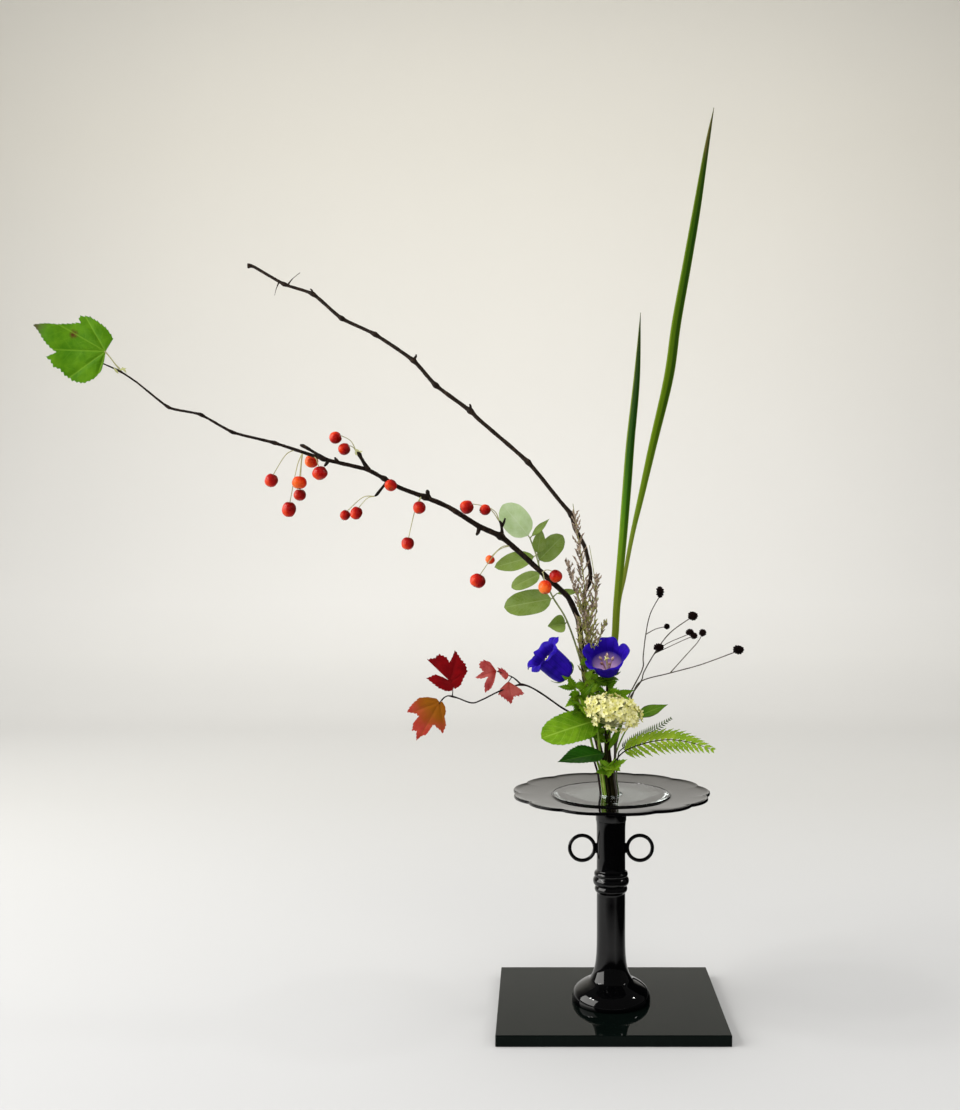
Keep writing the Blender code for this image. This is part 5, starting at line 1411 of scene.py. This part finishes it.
def campanula():
    left_route = [
        (-10, -3.4, 270, 1.4), (-13, -6, 280, 1.4), (-19, -11, 300, 1.4), (-27, -17, 330, 1.3),
        (-36, -21, 356, 1.4), (-42, -23, 370, 1.6), (-44.8, -24.4, 375.4, 2.6),
    ]
    right_route = [
        (-3, -6.5, 280, 1.4), (-3.2, -8, 300, 1.4), (-3, -9, 330, 1.4), (-2, -9, 360, 1.3),
        (-1.4, -9, 374, 1.6), (-1.6, -12.0, 380, 2.4),
    ]
    leaves = [
        # node, base, tip, width, facing
        ("campanula_leaf_1", (-31, -21.2, 341), (-44, -46, 356), 13, (0, -0.5, 1)),
        ("campanula_leaf_2", (-1.2, -10.2, 348), (26, -22, 362), 11, (0, -1, 0.8)),
        ("campanula_leaf_3", (-5.2, -10.8, 337), (-22, -26, 360), 12, (0, -1, 0.6)),
        ("campanula_leaf_4", (-0.6, -10.4, 292), (16, -16, 326), 7, (0, -1, 0.3)),
    ]
    for node, base, tip, width, facing in leaves:
        blade = leaf("blade", base, tip, width, facing, LANCE, fold=0.3, droop=0.12, wave=0.4, teeth=12,
                     tooth=0.16, ribs=6)
        paint(blade, FINISH["bell_leaf"])
        hand_in(blade, "bell_leaf_%s" % node[-1], "campanula_green", node)
    extra = [
        ((-27, -17, 330), (-50, -34, 322), 10, (0.2, -1, 0.6)),
        ((-33, -20, 348), (-20, -40, 370), 9, (-0.4, -1, 0.2)),
        ((-36, -21, 356), (-24, -36, 334), 11, (0.4, -1, 0.3)),
        ((-22, -14, 312), (-34, -30, 338), 9, (-0.2, -1, 0.4)),
        ((-2.6, -9, 335), (-16, -30, 331), 10, (-0.3, -1, 0.4)),
        ((-2, -9.4, 355), (12, -30, 346), 10, (0.3, -1, 0.5)),
        ((-1.6, -9.6, 365), (-16, -28, 372), 8, (-0.3, -1, 0.2)),
        ((-2.6, -9, 325), (14, -28, 336), 9, (0.3, -1, 0.4)),
        ((-1.2, -9, 362), (30, -12, 344), 9, (0.3, -1, 0.7)),
        ((-38, -22, 362), (-56, -30, 366), 7, (-0.2, -1, 0.4)),
        ((-30, -19, 338), (-40, -38, 338), 11, (-0.2, -1, 0.5)),
        ((-26, -16, 326), (-14, -34, 350), 10, (0.2, -1, 0.2)),
        ((-20, -12, 304), (-26, -30, 330), 9, (0.1, -1, 0.3)),
        ((-2.6, -9, 340), (-10, -32, 352), 11, (-0.1, -1, 0.4)),
        ((-2.2, -9, 350), (6, -34, 362), 10, (0.2, -1, 0.3)),
        ((-2.6, -9, 330), (24, -24, 348), 9, (0.2, -1, 0.5)),
        ((-3, -9, 320), (-18, -26, 342), 10, (-0.2, -1, 0.3)),
        ((-34, -20, 352), (-48, -40, 346), 9, (-0.1, -1, 0.3)),
    ]
    draw = random.Random(31)
    left_stem = [(-13, -6, 280), (-19, -11, 300), (-27, -17, 330), (-36, -21, 356), (-41, -23, 370)]
    right_stem = [(-3, -6.5, 280), (-3.2, -8, 300), (-3, -9, 330), (-2, -9, 360), (-1.6, -9, 370)]
    middle_stem = [(-14, -10, 318), (-19, -13, 338), (-24, -15, 362), (-27, -16, 388)]
    for number in range(60):
        line = (right_stem, left_stem, middle_stem)[number % 3]
        base = spline_value(line, (0.25 + 0.75 * draw.random()) * (len(line) - 1))
        turn = draw.uniform(-1.5, 1.5) - (0.35, -0.35, 0.0)[number % 3]
        length = draw.uniform(15.0, 25.0) if number % 3 < 2 else draw.uniform(11.0, 18.0)
        way = Vector((math.sin(turn), -math.cos(turn) * 0.8, draw.uniform(-0.15, 0.75))).normalized()
        tip = Vector(base) + way * length
        extra.append((tuple(base), tuple(tip), draw.uniform(7.5, 12.0),
                      (0.3 * math.sin(turn), -0.8, draw.uniform(0.2, 0.8))))
    pieces = []
    for number, (base, tip, width, facing) in enumerate(extra):
        blade = leaf("blade", base, tip, width, facing, LANCE, fold=0.35, droop=0.14, wave=0.5, teeth=8,
                     tooth=0.45, ribs=5, rows=6, columns=32, thick=0.3, seed=number)
        paint(blade, FINISH["front" if number % 3 == 2 else "bell_leaf"])
        pieces.append(blade)
    for base, tip in (((-27, -17, 330), (-34, -31, 352)), ((-20, -12, 304), (-38, -30, 330)),
                      ((-3, -9, 330), (12, -24, 356)), ((-27, -17, 332), (-24, -33, 356))):
        middle = Vector(base).lerp(Vector(tip), 0.6) + Vector((0.0, -1.5, -1.0))
        bud = stem("bud", [(*base, 0.7), (*middle, 0.6), (*Vector(base).lerp(Vector(tip), 0.85), 1.2),
                           (*tip, 0.25)], 1.5, 2)
        paint(bud, FINISH["cream_stalk"])
        pieces.append(bud)
    stem_leaves = join(pieces, "bell_stem_leaves")
    hand_in(stem_leaves, "bell_stem_leaves", "campanula_green")
    for node, route in (("campanula_stem_left", left_route), ("campanula_stem_right", right_route)):
        green = stem("bell_stem", from_slot(node, route, 2.0), 2.5, 3, 0.08, 0.05)
        paint(green, FINISH["bell_green" if "left" in node else "near_black_stem"])
        hand_in(green, node.replace("campanula_stem", "bell_stem"), "campanula_green", node)
    left = bell("bell_left", (-46.0, -25.0, 376.5), (-74, -36.4, 402), 43.0, 25.5, 15.0, 0.10, 0.10, 0.2, TUBE)
    hand_in(left, "bell_left", "bell_violet", "bell_flower_left")
    right = bell("bell_right", (-1.2, -14.0, 379.0), (-4.6, -31, 400), 30.0, 27.0, 17.0, 0.04, 0.32, 0.3, BOWL)
    hand_in(right, "bell_right", "bell_violet", "bell_flower_right")


# ---------------------------------------------------------------- burnets, low leaves, cream head

def burnet_head(centre, size, seed):
    """A dark head packed with tiny florets."""
    bpy.ops.mesh.primitive_ico_sphere_add(subdivisions=2, radius=1.0)
    seedpod = bpy.context.object
    florets = []
    directions = [vertex.co.normalized() for vertex in seedpod.data.vertices]
    bpy.data.objects.remove(seedpod, do_unlink=True)
    half = Vector(size) * 0.5
    for number, way in enumerate(directions):
        spot = Vector((way.x * half.x, way.y * half.y, way.z * half.z)) * 0.86
        bpy.ops.mesh.primitive_ico_sphere_add(subdivisions=1, radius=0.5)
        floret = bpy.context.object
        width = 0.30 * min(size) * (1.0 + 0.2 * math.sin(number * 2.1 + seed))
        shape = Matrix.Diagonal((width * MM, width * MM, width * 1.25 * MM, 1.0))
        floret.matrix_world = Matrix.Translation((Vector(centre) + spot) * MM) @ aimed(way) @ shape
        florets.append(floret)
    bpy.ops.mesh.primitive_uv_sphere_add(segments=16, ring_count=10, radius=0.5)
    core = bpy.context.object
    core_size = [n * 0.9 * MM for n in size]
    core.matrix_world = Matrix.Translation(Vector(centre) * MM) @ Matrix.Diagonal(core_size + [1.0])
    head = join(florets + [core], "head")
    settle(head)
    shade(head, 60.0)
    paint(head, FINISH["burnet_head"])
    return head


def burnets():
    tall = [(7.3, 4.5, 285), (8, 5, 300), (16, 6.5, 330), (25, 8, 353), (39, 10, 380), (40, 11, 394),
            (43, 12, 419), (48, 12, 442), (58, 12, 461)]
    middle = [(8, 0.2, 284), (9, -2, 300), (16, -6, 330), (24, -8, 351), (36, -10, 369), (39, -10, 379),
              (50, -8, 398), (62, -6, 415), (73, -5, 426), (92, -4, 439)]
    long = [(7.8, -5.5, 284), (9, -8, 300), (17, -13, 330), (25, -14, 351), (35, -15, 369), (67, -20, 379),
            (100, -27, 389), (138, -34, 404)]
    plants = [
        ("burnet_tall", tall, [[(43, 12, 419), (54, 13, 425), (66, 14, 427.8)]],
         [((59, 12, 467), (8, 8, 13)), ((67, 14, 428), (6, 6, 6))]),
        ("burnet_middle", middle, [[(50, -8, 398), (53, -11, 403), (55, -14, 407)],
                                   [(50, -8, 398), (63, -12, 410), (84, -17, 420), (89, -18, 422)],
                                   [(52, -8.6, 400), (66, -13, 407), (84, -18, 416), (93, -20, 420)]],
         [((94, -4, 441), (10, 10, 9)), ((55, -14, 407), (11, 9, 8)), ((89, -18, 424), (8.6, 8, 6.6)),
          ((93.5, -20, 420), (7, 7, 6.4))]),
        ("burnet_long", long, [[(67, -20, 379), (83, -16, 396), (98, -13, 412), (104, -12, 422)]],
         [((140, -34, 406), (11, 11, 9)), ((104, -12, 423), (7.4, 7, 7.4))]),
    ]
    for node, route, twigs, heads in plants:
        pieces = [stem("wire", from_slot(node, route, 0.55), 3.0, 2, 0.12, 0.05, seed=len(route))]
        for twig in twigs:
            pieces.append(stem("wire", [(*point, 0.5 if number else 0.6) for number, point in enumerate(twig)],
                               3.0, 1, 0.1, 0.03))
        for piece in pieces:
            paint(piece, FINISH["burnet"])
        for number, (centre, size) in enumerate(heads):
            pieces.append(burnet_head(centre, size, number))
        whole = join(pieces, node)
        hand_in(whole, node + "_plant", "burnet_brown", node)


def pinna_frond(route, pairs, reach, width, facing, lift, lean, blunt=0.35, teeth=0):
    """A fern frond: narrow leaflets in pairs along a stalk."""
    pieces = []
    knots = [(*point, 1.0) for point in route]
    normal = Vector(facing).normalized()
    for number in range(pairs):
        share = 0.06 + 0.92 * (number + 0.5) / pairs
        spot = Vector(spline_value(knots, share * (len(knots) - 1))[:3])
        ahead = Vector(spline_value(knots, min(1.0, share + 0.02) * (len(knots) - 1))[:3]) - Vector(
            spline_value(knots, max(0.0, share - 0.02) * (len(knots) - 1))[:3])
        ahead.normalize()
        across = normal.cross(ahead).normalized()
        size = reach * (math.sin(math.pi * min(1.0, share * 0.86 + 0.12)) ** 0.8) * (1.0 - blunt * share)
        for side in (-1.0, 1.0):
            way = (across * side + ahead * (lean + 0.8 * share) + normal * -lift).normalized()
            tip = spot + way * max(size, 3.0)
            piece = leaf("pinna", spot, tip, width * (0.45 + 0.55 * size / reach), normal, LANCE, fold=0.25,
                         droop=0.16, teeth=teeth, tooth=0.6, ribs=5, rows=4, columns=20, thick=0.25, quilt=0.05)
            pieces.append(piece)
    return pieces


def low_leaves():
    """The leaves and ferns at the foot, each on its own stalk."""
    def hand_in_leaf(name, slot, node, blades, finish, stalk_finish, stalk_end, route):
        for blade in blades:
            paint(blade, FINISH[finish])
        stalk = stem("stalk", from_slot(node, route, stalk_end), 2.5, 2, 0.06, 0.04)
        paint(stalk, FINISH[stalk_finish])
        hand_in(join(blades + [stalk], name), name, slot, node)

    broad = leaf("blade", (-13, -20, 327), (-73, -70, 318), 38, (-0.1, -0.85, 0.5), ROUND, fold=0.10,
                 droop=0.06, wave=1.4, teeth=14, tooth=0.07, ribs=6, quilt=0.9, rows=18, columns=70, thick=0.4,
                 seed=1.0)
    hand_in_leaf("wide_leaf", "broad_green", "broad_leaf", [broad], "broad", "bell_green", 1.0,
                 [(-8.5, -11.5, 280), (-11, -16, 300), (-14.6, -21.4, 328)])

    dark = leaf("blade", (-5, -18, 290), (-57, -50, 289), 33, (-0.1, -0.5, 0.85), LANCE, fold=0.22, droop=0.05,
                wave=0.6, teeth=16, tooth=0.12, ribs=8, quilt=0.4, rows=14, columns=60, seed=2.0)
    hand_in_leaf("low_leaf", "dark_green", "dark_leaf", [dark], "dark", "near_black_stem", 0.8,
                 [(-4, -13, 275), (-5.4, -17, 288), (-9, -19.6, 290.4)])

    right = leaf("blade", (31, 12, 325), (69, 20, 341), 15, (-0.2, -0.8, 0.6), LANCE, fold=0.2, droop=0.1,
                 wave=0.5, ribs=7, rows=12, columns=50, seed=3.0)
    hand_in_leaf("side_leaf", "broad_green", "right_leaf", [right], "right", "bell_green", 0.8,
                 [(9, 9, 285), (20, 11, 310), (34, 12.2, 327)])

    basal = [leaf("blade", (1.6, -13.6, 272), (-4, -36, 277), 20, (0, -0.4, 0.9), LANCE, fold=0.2, droop=0.1,
                  teeth=7, tooth=0.5, ribs=6, rows=8, columns=44)]
    for number, (tip, width) in enumerate([
        ((-14, -30, 273), 11), ((10, -32, 280), 12), ((17, -27, 286), 10), ((-10, -24, 284), 9),
        ((4, -30, 288), 11), ((12, -22, 272), 9), ((-2, -34, 268), 10),
    ]):
        base = (1.6 + number * 0.4 - 1.0, -12.6 - 0.3 * number, 268 + 1.6 * number)
        basal.append(leaf("blade", base, tip, width, (0, -0.7, 0.7), LANCE, fold=0.2, droop=0.12, teeth=6,
                          tooth=0.6, ribs=5, rows=6, columns=36, seed=number))
    hand_in_leaf("front_leaves", "fern_green", "basal_leaf", basal, "front", "near_black_stem", 0.7,
                 [(1.6, -11, 268), (1.2, -13, 272)])

    route = [(14, -14, 289), (24, -21, 296.6), (45, -31, 305), (66, -42, 309), (88, -52, 307), (110, -61, 301)]
    fern = pinna_frond(route, 16, 29.0, 5.6, (0.0, -0.72, 0.69), 0.10, 0.95, 0.22, 6)
    hand_in_leaf("bright_fern", "fern_green", "green_fern", fern, "fern", "near_black_stem", 0.3,
                 [(8, -10, 280)] + route[:-1] + [(109, -60, 301)])

    route = [(14, -1.9, 291), (30, 1.0, 300), (50, 5.5, 311), (72, 10, 325)]
    grey = pinna_frond(route, 24, 12.0, 2.0, (0.0, -1.0, 0.3), 0.0, 0.35, 0.35)
    hand_in_leaf("grey_fern", "fern_grey", "dark_fern", grey, "fern_grey", "fern_grey", 0.3,
                 [(11, -2, 284)] + route)


def cream_head():
    """A rounded head of small five-petalled cream florets on branching stalks."""
    draw = random.Random(23)
    neck = Vector((1.0, -35.0, 322.0))
    centre = Vector((4.0, -41.0, 338.0))
    route = [(0.1, -8.6, 270), (-0.5, -12, 280), (-3, -20, 303), (0, -31, 318), tuple(neck)]
    stalks = [stem("stalk", from_slot("cream_flower_head", route, 0.8), 2.5, 2)]
    paint(stalks[0], FINISH["near_black_stem"])
    petals, hearts = [], []
    bpy.ops.mesh.primitive_circle_add(vertices=6, radius=0.5, fill_type="TRIFAN")
    petal = bpy.context.object
    for vertex in petal.data.vertices:
        vertex.co.x += 0.5
        vertex.co.y *= 0.80
        vertex.co.z = 0.45 * vertex.co.x ** 2
    thicken(petal, 60.0)
    flower_shape = []
    for number in range(5):
        twin = twin_of(petal.data, "petal")
        twin.rotation_euler = (0.0, 0.0, number * math.tau / 5.0)
        flower_shape.append(twin)
    bpy.data.objects.remove(petal, do_unlink=True)
    flower = join(flower_shape, "flower")
    settle(flower)
    shade(flower, 60.0)
    paint(flower, FINISH["cream"])
    bpy.ops.mesh.primitive_ico_sphere_add(subdivisions=1, radius=0.20)
    heart = bpy.context.object
    settle(heart)
    paint(heart, FINISH["cream_heart"])
    count = 135
    for number in range(count):
        up = 1.0 - 2.0 * (number + 0.5) / count
        angle = number * GOLDEN_TURN
        ring = math.sqrt(max(0.0, 1.0 - up * up))
        way = Vector((ring * math.cos(angle), ring * math.sin(angle), up))
        if way.z < -0.30 and draw.random() < 0.6:
            continue
        shell = draw.uniform(0.80, 1.06)
        spot = centre + Vector((way.x * 29.0, way.y * 19.0, way.z * 18.0)) * shell
        spot.z -= 0.16 * (spot.x - centre.x)
        look = (way + Vector((draw.uniform(-0.35, 0.35), draw.uniform(-0.35, 0.35) - 0.2,
                              draw.uniform(-0.3, 0.3)))).normalized()
        size = draw.uniform(3.9, 5.6)
        spin = Matrix.Rotation(draw.uniform(0.0, 6.28), 4, "Z")
        place = Matrix.Translation(spot * MM) @ aimed(look) @ spin @ Matrix.Scale(size * MM, 4)
        for source, group in ((flower, petals), (heart, hearts)):
            twin = twin_of(source.data, "floret")
            twin.matrix_world = place
            group.append(twin)
        if number % 2 == 0:
            middle = neck.lerp(spot, 0.55) + Vector((0.0, 0.0, 1.5))
            ray = stem("ray", [(*neck, 0.5), (*middle, 0.35), (*spot, 0.3)], 6.0, 0)
            paint(ray, FINISH["cream_stalk"])
            stalks.append(ray)
    bpy.data.objects.remove(flower, do_unlink=True)
    bpy.data.objects.remove(heart, do_unlink=True)
    whole = join(petals + hearts + stalks, "cream_head")
    hand_in(whole, "cream_head", "cream_floret", "cream_flower_head")


# ---------------------------------------------------------------- the whole arrangement

deselect()
studio()
carried_over()
vase()
well_water()
crabapple_branch()
fruits()
tip_leaf()
bare_branch()
sword_leaves()
plume()
sage_twig()
maple()
campanula()
burnets()
low_leaves()
cream_head()
